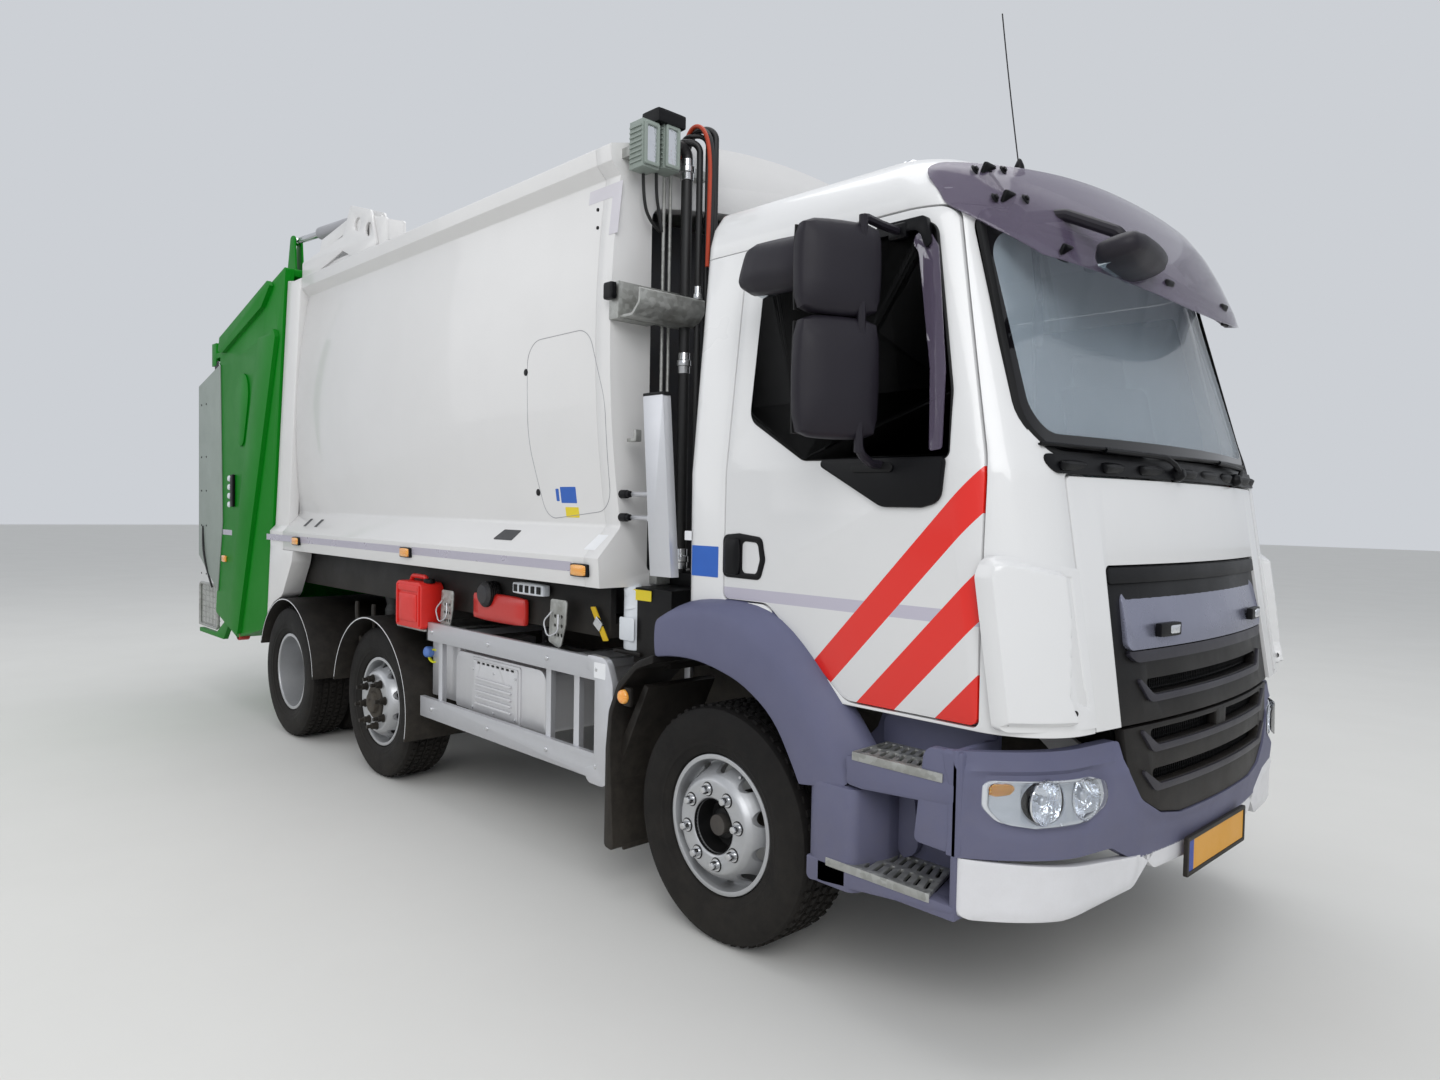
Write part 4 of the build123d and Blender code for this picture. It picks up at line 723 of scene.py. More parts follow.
def joined(name, pieces):
    """Several objects as one, each face keeping its finish."""
    depsgraph = bpy.context.evaluated_depsgraph_get()
    work = bmesh.new()
    finishes = []
    for piece in pieces:
        mesh = bpy.data.meshes.new_from_object(piece.evaluated_get(depsgraph), depsgraph=depsgraph)
        start = len(work.faces)
        work.from_mesh(mesh)
        work.faces.ensure_lookup_table()
        slots = list(mesh.materials)
        for finish in slots:
            if finish not in finishes:
                finishes.append(finish)
        for face in work.faces[start:]:
            face.material_index = finishes.index(slots[face.material_index])
        bpy.data.meshes.remove(mesh)
    result = bpy.data.meshes.new(name)
    work.to_mesh(result)
    work.free()
    for finish in finishes:
        result.materials.append(finish)
    for piece in pieces:
        bpy.data.objects.remove(piece)
    return new_object(name, result)


# Repeats by geometry nodes


def place_tree():
    """Instances of one piece on a mesh's points, turned by each point's turn attribute."""
    tree = bpy.data.node_groups.new("pieces_on_points", "GeometryNodeTree")
    for name, kind in (("Points", "Geometry"), ("Piece", "Object"), ("Size", "Float"),
                       ("Finish", "Material")):
        tree.interface.new_socket(name, in_out="INPUT", socket_type="NodeSocket" + kind)
    tree.interface.new_socket("Mesh", in_out="OUTPUT", socket_type="NodeSocketGeometry")
    given = add(tree, "NodeGroupInput")
    piece = add(tree, "GeometryNodeObjectInfo", Object=given.outputs["Piece"])
    turn = add(tree, "GeometryNodeInputNamedAttribute", {"data_type": "FLOAT_VECTOR"}, Name="turn")
    stamped = add(tree, "GeometryNodeInstanceOnPoints", Points=given.outputs["Points"],
                  Instance=piece.outputs["Geometry"], Rotation=turn.outputs[0],
                  Scale=given.outputs["Size"])
    real = add(tree, "GeometryNodeRealizeInstances", Geometry=stamped.outputs[0])
    coloured = add(tree, "GeometryNodeSetMaterial", Geometry=real.outputs[0],
                   Material=given.outputs["Finish"])
    add(tree, "NodeGroupOutput", Mesh=coloured.outputs[0])
    return tree


on_points = place_tree()


def run_tree(obj, tree, values):
    """Runs a node tree on an object and keeps the plain mesh."""
    modifier = obj.modifiers.new("repeat", "NODES")
    modifier.node_group = tree
    for item in tree.interface.items_tree:
        if item.item_type == "SOCKET" and item.in_out == "INPUT" and item.name in values:
            modifier[item.identifier] = values[item.name]
    mesh = plain_mesh(obj)
    obj.modifiers.remove(modifier)
    obj.data = mesh
    return obj


def repeated(name, stamp, places, finish, size=1.0):
    """The stamp (made in mm about the origin, +Z outwards) at each (x, y, z, direction[, spin])."""
    mesh = bpy.data.meshes.new(name)
    mesh.from_pydata([spot(*p[:3]) for p in places], [], [])
    turn = mesh.attributes.new("turn", "FLOAT_VECTOR", "POINT")
    for i, place in enumerate(places):
        aim = Vector(place[3]).to_track_quat("Z", "Y")
        if len(place) > 4:
            aim = aim @ Matrix.Rotation(math.radians(place[4]), 3, "Z").to_quaternion()
        turn.data[i].vector = aim.to_euler("XYZ")
    obj = new_object(name, mesh)
    return run_tree(obj, on_points, {"Piece": stamp, "Size": size, "Finish": finish})


def stamp(name, profile, segments=6):
    """A small turned piece about its own origin for repeated(), from (height, radius) points in mm."""
    return unlink(lathe(name, profile, (-AHEAD, 0, 0), (0, 0, 1), None, segments))


hex_bolt = stamp("hex_bolt", [(0, 9), (5, 9), (6, 7.6), (6, 0)], 6)
dome_screw = stamp("dome_screw", [(0, 6), (1.2, 5.6), (2.6, 3.6), (3.2, 0)], 12)
dome_nut = stamp("dome_nut", [(0, 23), (4, 23), (4, 17), (22, 16), (30, 12), (33, 0)], 16)
long_nut = stamp("long_nut", [(0, 25), (6, 25), (6, 19), (34, 19), (36, 16), (36, 11), (62, 11), (64, 0)],
                 12)


# Shapes shared with the CAD

# The cab side's lean above the waist, the nose's flat part and bow, and (z, x) of cab and bumper
SIDE_LEAN = 93 / 890
NOSE_FLAT = 579
NOSE_RADIUS = 3900
CAB_FRONT = [(985, 1372), (1750, 1250), (2640, 978), (2710, 930), (2780, 840), (2820, 690)]
BUMPER_FRONT = [(450, 1330), (500, 1362), (616, 1364), (620, 1372), (700, 1380), (860, 1376), (950, 1346)]


def between(rows, z):
    """The value at z, straight between the table's rows."""
    if z <= rows[0][0]:
        return rows[0][1]
    for (z0, v0), (z1, v1) in zip(rows, rows[1:]):
        if z <= z1:
            return v0 + (v1 - v0) * (z - z0) / (z1 - z0)
    return rows[-1][1]


def bow(y):
    """How far the nose falls back from its centre line at that y."""
    y = abs(y)
    if y < NOSE_FLAT:
        return NOSE_RADIUS - math.sqrt(NOSE_RADIUS ** 2 - y ** 2)
    return 43.2 + 0.15 * (y - NOSE_FLAT) + max(0.0, y - 830) ** 2 / 560


def on_nose(rows):
    """Bends a flat piece built round x = 0 onto the nose described by the rows."""
    return lambda p: (p.x + between(rows, p.z) - bow(p.y), p.y, p.z)


def on_cab_side(sign):
    """Leans a piece built round y = 0 onto the cab's right (-1) or left (1) side."""
    return lambda p: (p.x, sign * (CAB_HALF_WIDTH - max(0.0, p.z - CAB_WAIST) * SIDE_LEAN + p.y), p.z)


# Half width of the load body by height: (z, y)
SIDE_ROWS = [(1280, 1160), (1405, 1170), (1450, 1129.8), (1500, 1085.2), (1535, 1056), (1550, 1056.5),
             (1700, 1079.6), (1850, 1098), (2000, 1111.3), (2150, 1119.5), (2300, 1123.8), (2450, 1123),
             (2600, 1117), (2750, 1107), (2900, 1091), (2992, 1080), (3041, 1128), (3109, 1135),
             (3134, 1040)]


def side_y(z):
    """Half width of the load body at height z."""
    return between(SIDE_ROWS, z)


def grown(corners, by):
    """An outline with each corner moved by mm away from the middle in both directions."""
    cx = sum(c[0] for c in corners) / len(corners)
    cz = sum(c[1] for c in corners) / len(corners)
    return [(c[0] + math.copysign(by, c[0] - cx), c[1] + math.copysign(by, c[1] - cz), *c[2:])
            for c in corners]


# Chassis and running gear


def dress_chassis():
    """The running gear whose CAD form is enough: clean copies with rounded edges."""
    for node in ("chassis_frame", "front_axle"):
        dress(node, chassis_paint, 3)
    for node in ("middle_axle", "drive_axle", "engine_block", "knuckle_left", "knuckle_right"):
        dress(node, cast_iron, 3)
    dress("fuel_tank", drawn_aluminium, 6)
    dress("mudguards", black_plastic, 3)
    dress("side_guards", drawn_aluminium, 2)
    dress("exhaust_box", brushed_aluminium, 6)
    dress("canisters", jerrycan_plastic, 6, others=(
        (zinc, (-2700, -1200, 900), (-2200, 0, 945)),
        (bottle_plastic, (-800, -1100, 1010), (-500, -800, 1400)),
        (black_plastic, (-800, -1100, 980), (-500, 0, 1009))))


dress_chassis()


# One half of the tyre's section, from the middle of the tread to the bead: along the axle, radius
TYRE_HALF = [(0, 437), (22, 437), (24, 430), (31, 430), (33, 437), (62, 437), (64, 430), (71, 430),
             (73, 437), (110, 436), (124, 431), (133, 415), (136, 408), (139, 400), (141, 370),
             (141.4, 335), (139, 318), (138, 316), (137, 300), (131, 292), (129, 282), (121, 268),
             (106, 262), (104, 249)]
# Rows of tread blocks: place across, how many, turn in degrees, and how far on the row starts, in blocks
TREAD_ROWS = ((-46.5, 74, 10, 0), (46.5, 74, -10, 0.5), (-92, 58, 0, 0), (92, 58, 0, 0.5), (0, 74, 0, 0))


def tyre(name, node, x, centres, body):
    """A road tyre: tread blocks stamped round it, raised rings on the sidewall, bead at the rim."""
    parts = []
    for centre in centres:
        profile = [(-a, r) for a, r in TYRE_HALF[::-1]] + TYRE_HALF[1:]
        case = lathe(name + "_case", profile, (x, centre, AXLE_HEIGHT), (0, 1, 0), tyre_rubber, 112)
        block = plate("tread_block", [(-11, -12, 2), (11, -12, 2), (13, 12, 2), (-9, 12, 2)], "z", -8, 8,
                      tyre_rubber, steps=1)
        block.data.transform(Matrix.Translation(Vector((-AHEAD / 1000, 0, 0))))
        unlink(block)
        places = []
        for across, count, turn, shift in TREAD_ROWS:
            for k in range(count):
                a = 2 * math.pi * (k + shift) / count
                aim = (math.cos(a), 0, math.sin(a))
                up = AXLE_HEIGHT + TREAD_RADIUS * aim[2]
                places.append((x + TREAD_RADIUS * aim[0], centre + across, up, aim, turn))
        parts += [case, repeated(name + "_tread", block, places, tyre_rubber)]
    settle_all(name, parts, body, "tyre", node)


def nut_places(x, y, out, count):
    """Where the wheel nuts stand on the disc's face, and the way that they point."""
    return [(u, y, v, (0, out, 0))
            for u, v in ((x + NUT_RING * math.cos(a), AXLE_HEIGHT + NUT_RING * math.sin(a))
                         for a in (2 * math.pi * (k + 0.25) / count for k in range(count)))]


# Nuts, their finish, the hub's section (along the axle, radius) and its finish
# The steered hub's near-black bore is grease and painted shade
WHEEL_ENDS = {"steered": (dome_nut, bare_bright, [(147, 100), (100, 97), (60, 92), (60, 62), (88, 56),
                                                  (90, 0)], hub_grease_and_shade),
              "pusher": (long_nut, black_plastic, [(60, 98), (152, 98), (156, 92), (156, 66), (176, 60),
                                                   (180, 54), (180, 24), (174, 18), (174, 0)],
                         chassis_paint)}


def rim(name, node, x, out, y, body, steering):
    """An eight-stud disc wheel: rolled flange, oval hand holes, nuts, and a hub; out is its outer side."""
    barrel = [(-117, 239), (-117, 260), (-112, 261.5), (-108, 260), (-106, 250), (106, 250), (108, 260),
              (112, 261.5), (117, 260), (117, 243), (98, 239), (60, 236), (50, 231), (56, 224), (84, 212),
              (112, 199), (128, 190), (140, 180), (147, 172), (149, 162), (149, 112), (146, 106),
              (140, 100), (128, 98), (128, 110), (134, 160), (128, 170), (112, 186), (80, 204), (48, 220),
              (40, 230), (34, 239)]
    profile = [(a * out, r) for a, r in soft_profile(barrel, 2.5)]
    disc = lathe(name + "_disc", profile + [profile[0]], (x, y, AXLE_HEIGHT), (0, 1, 0), wheel_lacquer, 96)
    work = bmesh.new()
    work.from_mesh(disc.data)
    bmesh.ops.remove_doubles(work, verts=work.verts, dist=0.00001)
    bmesh.ops.recalc_face_normals(work, faces=work.faces)
    work.to_mesh(disc.data)
    work.free()
    cutters = []
    for k in range(10):
        hole = plate("hand_hole", ring(-AHEAD, 0, 31, 20, 21), "z", -60, 60, wheel_lacquer, steps=1)
        hole.data.transform(Matrix.Rotation(math.radians(90), 4, "X"))
        hole.data.transform(Matrix.Translation(spot(x, y + 78 * out, AXLE_HEIGHT))
                            @ Matrix.Rotation(-2 * math.pi * (k + 0.5) / 10, 4, "Y")
                            @ Matrix.Translation(Vector((0.213, 0, 0)))
                            @ Matrix.Rotation(math.radians(90), 4, "Y"))
        cutters.append(hole)
    holes = joined("hand_holes", cutters)
    cut = disc.modifiers.new("cut", "BOOLEAN")
    cut.operation = "DIFFERENCE"
    cut.solver = "EXACT"
    cut.object = holes
    disc.data = plain_mesh(disc)
    disc.modifiers.clear()
    bpy.data.objects.remove(holes)
    parts = [disc]
    nut, finish, cap, hub_finish = WHEEL_ENDS["steered" if steering else "pusher"]
    places = nut_places(x, y + out * 149, out, 8)
    parts.append(repeated(name + "_nuts", nut, places, finish))
    parts.append(lathe(name + "_hub", [(a * out, r) for a, r in soft_profile(cap, 2)], (x, y, AXLE_HEIGHT),
                       (0, 1, 0), hub_finish, 48))
    if steering:
        # A thin near-black ring round each nut: painted shade in the nut wells
        well = stamp("nut_well", [(0.3, 17), (0.3, 27), (0.6, 26), (0.6, 17)], 24)
        parts.append(repeated(name + "_wells", well, places, hub_grease_and_shade))
    valve = (x + 214 * math.cos(1.1), y + 66 * out, AXLE_HEIGHT + 214 * math.sin(1.1))
    parts.append(lathe(name + "_valve", [(0, 4), (34, 4), (34, 6), (46, 6), (46, 0)], valve,
                       (0.1, out, 0.15), bare_bright, 10))
    settle_all(name, parts, body, "wheel_paint", node)


def twin_rim(name, node, x, side, body):
    """The drive axle's twin wheels: the outer one's dish turned inwards, deep and silver."""
    parts = []
    middle = side * (TWIN_OUTER - TWIN_HALF_GAP)
    for sign in (1, -1):
        centre = middle + side * sign * TWIN_HALF_GAP
        barrel = [(-117, 239), (-117, 260), (-112, 261.5), (-108, 260), (-106, 250), (106, 250),
                  (108, 260), (112, 261.5), (117, 260), (117, 241), (108, 239), (-20, 238), (-60, 238)]
        web = [(-60, 238), (-95, 232), (-108, 222), (-128, 196), (-142, 180), (-147, 172), (-147, 90),
               (-157, 90), (-157, 176), (-151, 190), (-137, 206), (-117, 232), (-117, 239)]
        profile = [(a * side * sign, r) for a, r in soft_profile(barrel + web[1:], 2.5)]
        parts.append(lathe(name + "_disc", profile, (x, centre, AXLE_HEIGHT), (0, 1, 0), wheel_lacquer,
                           96))
    parts.append(repeated(name + "_nuts", dome_nut, nut_places(x, middle + side * 12, side, 10),
                          cast_iron))
    hub = [(-160, 94), (14, 94), (14, 84), (60, 68), (106, 62), (112, 56), (112, 0)]
    parts.append(lathe(name + "_hub", [(a * side, r) for a, r in soft_profile(hub, 3)],
                       (x, middle, AXLE_HEIGHT), (0, 1, 0), cast_iron, 48))
    settle_all(name, parts, body, "wheel_paint", node)


for side, word in SIDES[::-1]:
    for axle, x, y in (("front", 0, 970), ("middle", MIDDLE_AXLE, 980)):
        tyre(f"{axle}_tyre_{word}", f"tyre_{axle}_{word}", x, [side * y], f"wheel_{axle}_{word}")
        rim(f"{axle}_rim_{word}", f"rim_{axle}_{word}", x, side, side * y, f"wheel_{axle}_{word}",
            axle == "front")
    tyre(f"rear_tyres_{word}", f"tyre_rear_{word}", REAR_AXLE,
         [side * TWIN_OUTER, side * (TWIN_OUTER - 2 * TWIN_HALF_GAP)], f"wheel_rear_{word}")
    twin_rim(f"rear_rims_{word}", f"rim_rear_{word}", REAR_AXLE, side, f"wheel_rear_{word}")


# Cab


def dress_cab():
    """Cab shell, doors, glass and dashboard as clean copies of their CAD forms."""
    for node in ("cab_frame", "cab_roof"):
        dress(node, cab_enamel, 3)
    for node in ("door_left", "door_right"):
        dress(node, stripes, 2)
    for node in ("door_glass_left", "door_glass_right"):
        dress(node, door_glass)
    dress("windscreen", screen_glass)
    dress("dashboard", cab_trim, 8)


dress_cab()


# Load body and tailgate


def dress_body():
    """Load body and tailgate panels as clean copies of their CAD forms."""
    for node in ("body_sides", "body_roof", "body_rear_frame"):
        dress(node, body_enamel, 3)
    dress("body_floor", chassis_paint, 2)
    dress("ejector_plate", cast_iron, 4)
    dress("tailgate_cheeks", green_enamel, 5)
    dress("tailgate_cover", green_enamel, 4)
    dress("hopper_trough", green_enamel, 4)
    dress("packer_plate", cast_iron, 5)
    dress("side_screens", screen_coat, 2)
    dress("lift_barrels", grey_enamel_and_seam_shade, 4)
    dress("lift_rods", bare_bright, 2)
    dress("bin_lift", cast_iron, 4)


dress_body()


# Cab front

# The grille's face as (z, x); the other outlines are (y, z[, corner radius])
GRILLE_FACE = [(670, 1369), (860, 1365), (950, 1363), (999, 1357), (1464, 1285.6)]
UPPER_GRILLE = [(-658, 1462, 18), (-674, 984), (674, 984), (658, 1462, 18)]
LOWER_GRILLE = [(-650, 974), (-629, 847, 60), (-559, 751, 80), (-447, 693, 60), (-319, 672, 60),
                (319, 672, 60), (447, 693, 60), (559, 751, 80), (629, 847, 60), (650, 974)]
HOOD_SKIN = [(-804, 987), (-680, 987), (-662, 1468, 20), (662, 1468, 20), (680, 987), (804, 987),
             (804, 1737, 22), (-804, 1737, 22)]
BUMPER_SKIN = [(-1149, 632), (-690, 620, 60), (-560, 556, 60), (560, 556, 60), (690, 620, 60), (1149, 632),
               (1149, 938, 14), (655, 938, 10), (633, 847, 60), (563, 749, 80), (449, 689, 60),
               (320, 668, 60), (-320, 668, 60), (-449, 689, 60), (-563, 749, 80), (-633, 847, 60),
               (-655, 938, 10), (-1149, 938, 14)]
LENS = [(-1098, 858, 22), (-1100, 780, 40), (-1072, 738, 40), (-998, 724, 60), (-842, 732, 60),
        (-738, 772, 36), (-752, 838, 30), (-800, 852, 60)]


def nose_at(rows, y, z, proud=0.0):
    """A point of the nose described by the rows."""
    return (between(rows, z) - bow(y) + proud, y, z)


def flipped(corners):
    """An outline on the other side of the lorry."""
    return [(-c[0], *c[1:]) for c in corners]


def for_side(corners, sign):
    """An outline drawn on the right side, for that side."""
    return corners if sign < 0 else flipped(corners)[::-1]


def slot_outline(low, high, half_low, half_high):
    """An air slot, narrower at its lower edge."""
    return [(-half_high, high, 14), (-half_low, low, 34), (half_low, low, 34), (half_high, high, 14)]


# Distance from wire to wire in the air slots
MESH_GAP = 14


def mesh_in(name, low, high, half_high):
    """Wire mesh across one air slot: stamped uprights and bent cross wires."""
    bar = stamp("mesh_bar", [(-1, 0), (-1, 2), (1, 2), (1, 0)], 4)
    bar.data.transform(Matrix.Scale((high - low + 24) / 2, 4, Vector((0, 0, 1))))
    places = [(*nose_at(GRILLE_FACE, -half_high + MESH_GAP * k, (low + high) / 2, -34), (0, 0, 1))
              for k in range(int(half_high * 2 / MESH_GAP) + 1)]
    pieces = [repeated(name + "_uprights", bar, places, black_mesh_and_shade)]
    for k in range(int((high - low) / MESH_GAP) + 1):
        z = low + 6 + MESH_GAP * k
        pieces.append(tube(name + "_wire", [nose_at(GRILLE_FACE, -half_high + 2 * half_high * i / 12, z,
                                                    -36) for i in range(13)], 2, black_mesh_and_shade, sides=4))
    return pieces


def dress_grille():
    """Black slotted grille with a blank satin bar; the lower part stays on the bumper when the hood opens."""
    on_face = on_nose(GRILLE_FACE)
    for where, outline, slots, body, node in (("upper", UPPER_GRILLE, [(1066, 1112, 470, 522)], "hood",
                                               "upper_grille"),
                                              ("lower", LOWER_GRILLE,
                                               [(912, 958, 470, 536), (788, 832, 456, 528)], "chassis",
                                               None)):
        pieces = [plate(where + "_grille_frame", outline, "x", -30, 0, black_plastic,
                        holes=[slot_outline(*s) for s in slots], edge=4, bend=on_face, cut=60),
                  # A near-black sheet behind the grille's slots: painted shade
                  plate(where + "_grille_back", [(c[0] * 0.97, c[1], *c[2:]) for c in outline], "x", -58,
                        -46, black_mesh_and_shade, bend=on_face, cut=80)]
        for low, high, half_low, half_high in slots:
            pieces += mesh_in(where + "_mesh", low, high, half_high)
            lip = [(-half_high - 34, high + 2, 8), (-half_low - 34, low - 24, 44),
                   (half_low + 34, low - 24, 44), (half_high + 34, high + 2, 8),
                   (half_high + 20, high + 4, 6), (half_low + 6, low - 3, 40),
                   (-half_low - 6, low - 3, 40), (-half_high - 20, high + 4, 6)]
            pieces.append(plate(where + "_slot_lip", lip, "x", -4, 9, lip_plastic, edge=5, bend=on_face,
                                cut=50))
        if where == "upper":
            def facet(p):
                """The bar's face falls back above a crease."""
                return on_face(Vector((p.x - max(0.0, p.z - 1338) * 0.42 * (p.x > 0), p.y, p.z)))

            bar = plate("blank_bar", [(-604, 1207, 26), (604, 1207, 26), (594, 1385, 34),
                                      (-594, 1385, 34)], "x", -6, 17, emblem_plastic, edge=4, bend=facet,
                        cut=40)
            under = [(-606, 1200, 10), (-560, 1168, 60), (560, 1168, 60), (606, 1200, 10), (598, 1202),
                     (-598, 1202)]
            pieces += [bar, plate("bar_under_lip", under, "x", -4, 14, lip_plastic, edge=4, bend=on_face,
                                  cut=50),
                       plate("grille_brow", [(-655, 1460, 14), (-655, 1412, 10), (655, 1412, 10),
                                             (655, 1460, 14)], "x", -4, 10, black_plastic, edge=5,
                             bend=on_face, cut=50)]
            for y in (-381, 440):
                x, _, z = nose_at(GRILLE_FACE, y, 1262, 27)
                tilt = (0, 0, math.degrees(math.atan((bow(y - 10) - bow(y + 10)) / 20)) * -1)
                pieces.append(housing("strobe_body", (x, y, z), (24, 128, 44), black_plastic, tilt, 5))
                pieces.append(housing("strobe_lens", (x + 9, y + (12 if y > 0 else 22), z), (12, 66, 30),
                                      chrome_bowl, tilt, 4, crown=2))
            settle_all("upper_grille_set", pieces, body, "black_plastic", node)
        else:
            pieces.append(housing("sensor_box", nose_at(GRILLE_FACE, 6, 934, -16), (34, 92, 66),
                                  black_plastic, radius=8))
            settle_all("lower_grille_set", pieces, body, "black_plastic")


def inside_of(corners, y, z):
    """Distance in mm from (y, z) to an outline, positive inside it."""
    nearest, odd = 1e9, False
    for (ay, az), (by, bz) in zip(corners, corners[1:] + corners[:1]):
        span = (by - ay) ** 2 + (bz - az) ** 2
        share = max(0.0, min(1.0, ((y - ay) * (by - ay) + (z - az) * (bz - az)) / span)) if span else 0.0
        nearest = min(nearest, math.hypot(y - ay - share * (by - ay), z - az - share * (bz - az)))
        if (az > z) != (bz > z) and y < (by - ay) * (z - az) / (bz - az) + ay:
            odd = not odd
    return nearest if odd else -nearest


def soft_step(value, low, high):
    """0 below low, 1 above high, with a smooth rise between; low may be above high."""
    share = max(0.0, min(1.0, (value - low) / (high - low)))
    return share * share * (3 - 2 * share)


def moulded(name, outline, rows, height, finish, step=16, holes=(), depth=26, edge=3):
    """A skin on the nose whose face is pushed out by height(y, z) mm."""
    on_face = on_nose(rows)

    def bend(p):
        x, y, z = on_face(p)
        return (x + (height(y, z) if p.x > -depth / 2 else 0), y, z)

    return plate(name, outline, "x", -depth, 0, finish, holes=holes, edge=edge, bend=bend, cut=step,
                 cross=step)


# The corner vane, its raised face and the channel in it
VANE = [(-1084, 1001, 20), (-1084, 1440, 60), (-1062, 1506, 40), (-880, 1470, 20), (-806, 1462, 12),
        (-806, 1001, 6)]
VANE_SWELL = [(-1110, 1016), (-1110, 1462), (-1060, 1492), (-884, 1452), (-884, 1330), (-917, 1103),
              (-900, 1016)]
VANE_CHANNEL = [(-884, 1446), (-838, 1440), (-836, 1120), (-824, 1050), (-868, 1072), (-914, 1106),
                (-892, 1330)]


def dress_nose():
    """Hood and corner vanes, bumper skin with its ledge and lamp pockets, white apron and the blank plate."""
    hood = plate("hood_skin", HOOD_SKIN, "x", -30, 0, cab_enamel, edge=4, bend=on_nose(CAB_FRONT), cut=30)
    settle(hood, "hood", "white_paint", "front_hood")

    def swell(y, z):
        """The vane's raised face with a channel along its inner edge."""
        rise = 34 * soft_step(inside_of(VANE_SWELL, -abs(y), z), -2, 16)
        return 4 + rise - 10 * soft_step(inside_of(VANE_CHANNEL, -abs(y), z), 2, 10)

    for sign, word in SIDES:
        vane = moulded("corner_vane_" + word, for_side(VANE, sign), CAB_FRONT, swell, cab_enamel, 8,
                       depth=20)
        settle(vane, "cab", "white_paint", *shared("corner_vanes", sign))
    rows = [(570, 1352), (600, 1356), (622, 1360), (700, 1366), (852, 1363), (880, 1350), (950, 1338)]
    lens = [(p.x, p.y) for p in rounded(LENS, 4)]
    grille = [(p.x, p.y) for p in rounded(LOWER_GRILLE, 4)]

    def pocket(y, z):
        """The lamp's recess, the raised lip round the grille and the ledge above the lamps."""
        dip = 15 * soft_step(inside_of(lens, -abs(y), z), -46, -8)
        rim = 9 * soft_step(inside_of(grille, y, z), -34, -6)
        ledge = 8 * soft_step(z, 868, 880) * (1 - soft_step(z, 884, 900)) * soft_step(abs(y), 640, 700)
        return rim + ledge - dip

    skin = moulded("bumper_skin", BUMPER_SKIN, rows, pocket, violet_plastic, 13, [LENS, for_side(LENS, 1)],
                   34, 0)
    pieces = [skin]
    for sign in (1, -1):
        pieces.append(plate("bumper_cheek", [(900, 640, 20), (1062, 634, 10), (1062, 934, 10),
                                             (930, 934, 40)], "y", *sorted((sign * 1112, sign * 1147)),
                            violet_plastic, edge=6))
    settle_all("bumper_skin_set", pieces, "chassis", "grey_plastic", "front_bumper")
    right = [(-520, 566, 40), (-655, 628, 60), (-1140, 640, 10), (-1140, 452, 30), (-900, 442, 60),
             (-560, 468, 60)]
    low_middle, top_middle = [(-440, 505, 40), (440, 505, 40)], [(430, 570, 30), (-430, 570, 30)]
    outline = right[::-1] + low_middle + flipped(right) + top_middle
    wing = [(p.x, p.y) for p in rounded(right, 4)]

    def fold(y, z):
        """The apron's ends stand proud of its middle."""
        return 9 * soft_step(inside_of(wing, -abs(y), z), 0, 16)

    apron = moulded("apron_skin", outline, rows, fold, apron_plastic, 18, depth=22)
    number = [plate("plate_frame", box(-288, 256, 446, 576, 8), "x", 1360, 1374, black_plastic,
                    holes=[box(-272, 240, 460, 562, 4)], edge=2),
              plate("plate_face", box(-230, 239, 461, 561), "x", 1368, 1371.6, plate_yellow),
              plate("plate_band", box(-271, -230, 461, 561), "x", 1368, 1371.6, plate_blue)]
    settle_all("apron_set", [apron, *number], "chassis", "white_paint", "bumper_apron")


def dress_headlamps():
    """Clear lens over a silver bowl plate with two round reflectors and an amber corner."""
    for sign, word in SIDES:
        outline = for_side(LENS, sign)
        on_lamp = on_nose(BUMPER_FRONT)
        places = ((-962, 795, 60), (-822, 793, 54))
        holes = [ring(sign * -y, z, radius, 28) for y, z, radius in places]
        back = box(-1104, -730, 720, 862)
        pieces = [plate("lamp_plate", outline, "x", -30, -24, lamp_bezel, holes=holes, edge=1,
                        bend=on_lamp, cut=16),
                  plate("lamp_back", for_side(back, sign), "x", -96, -90, black_plastic, bend=on_lamp,
                        cut=24)]
        for y, z, radius in places:
            x, _, z = nose_at(BUMPER_FRONT, y, z, -24)
            out = Vector((0.97, -0.2 if sign < 0 else 0.2, 0)).normalized()
            centre = (x, sign * -y, z)
            bowl = [(-58, 8), (-52, radius * 0.45), (-34, radius * 0.78), (-12, radius * 0.95),
                    (0, radius), (5, radius + 4), (1, radius + 6)]
            pieces.append(lathe("reflector", bowl, centre, out, chrome_bowl, 40))
            pieces.append(lathe("bulb", [(-56, 9), (-28, 9), (-20, 7), (-14, 0)], centre, out, lamp_lens,
                                16))
            pieces.append(lathe("bulb_cap", [(-20, 13), (-8, 13), (-4, 9), (-4, 0)], centre, out,
                                lamp_bezel, 20))
        amber = [(-1090, 846, 10), (-1090, 812, 10), (-1052, 820, 14), (-1034, 848, 10)]
        pieces.append(plate("turn_lens", for_side(amber, sign), "x", -22, -14, amber_lens, edge=2,
                            bend=on_lamp, cut=16))
        settle_all("lamp_inside_" + word, pieces, "chassis", "lamp_plastic", *shared("headlamps", sign))
        lens = plate("lamp_lens_" + word, outline, "x", -8, -3, lamp_lens, edge=1, bend=on_lamp, cut=16)
        settle(lens, "chassis", "lamp_plastic")


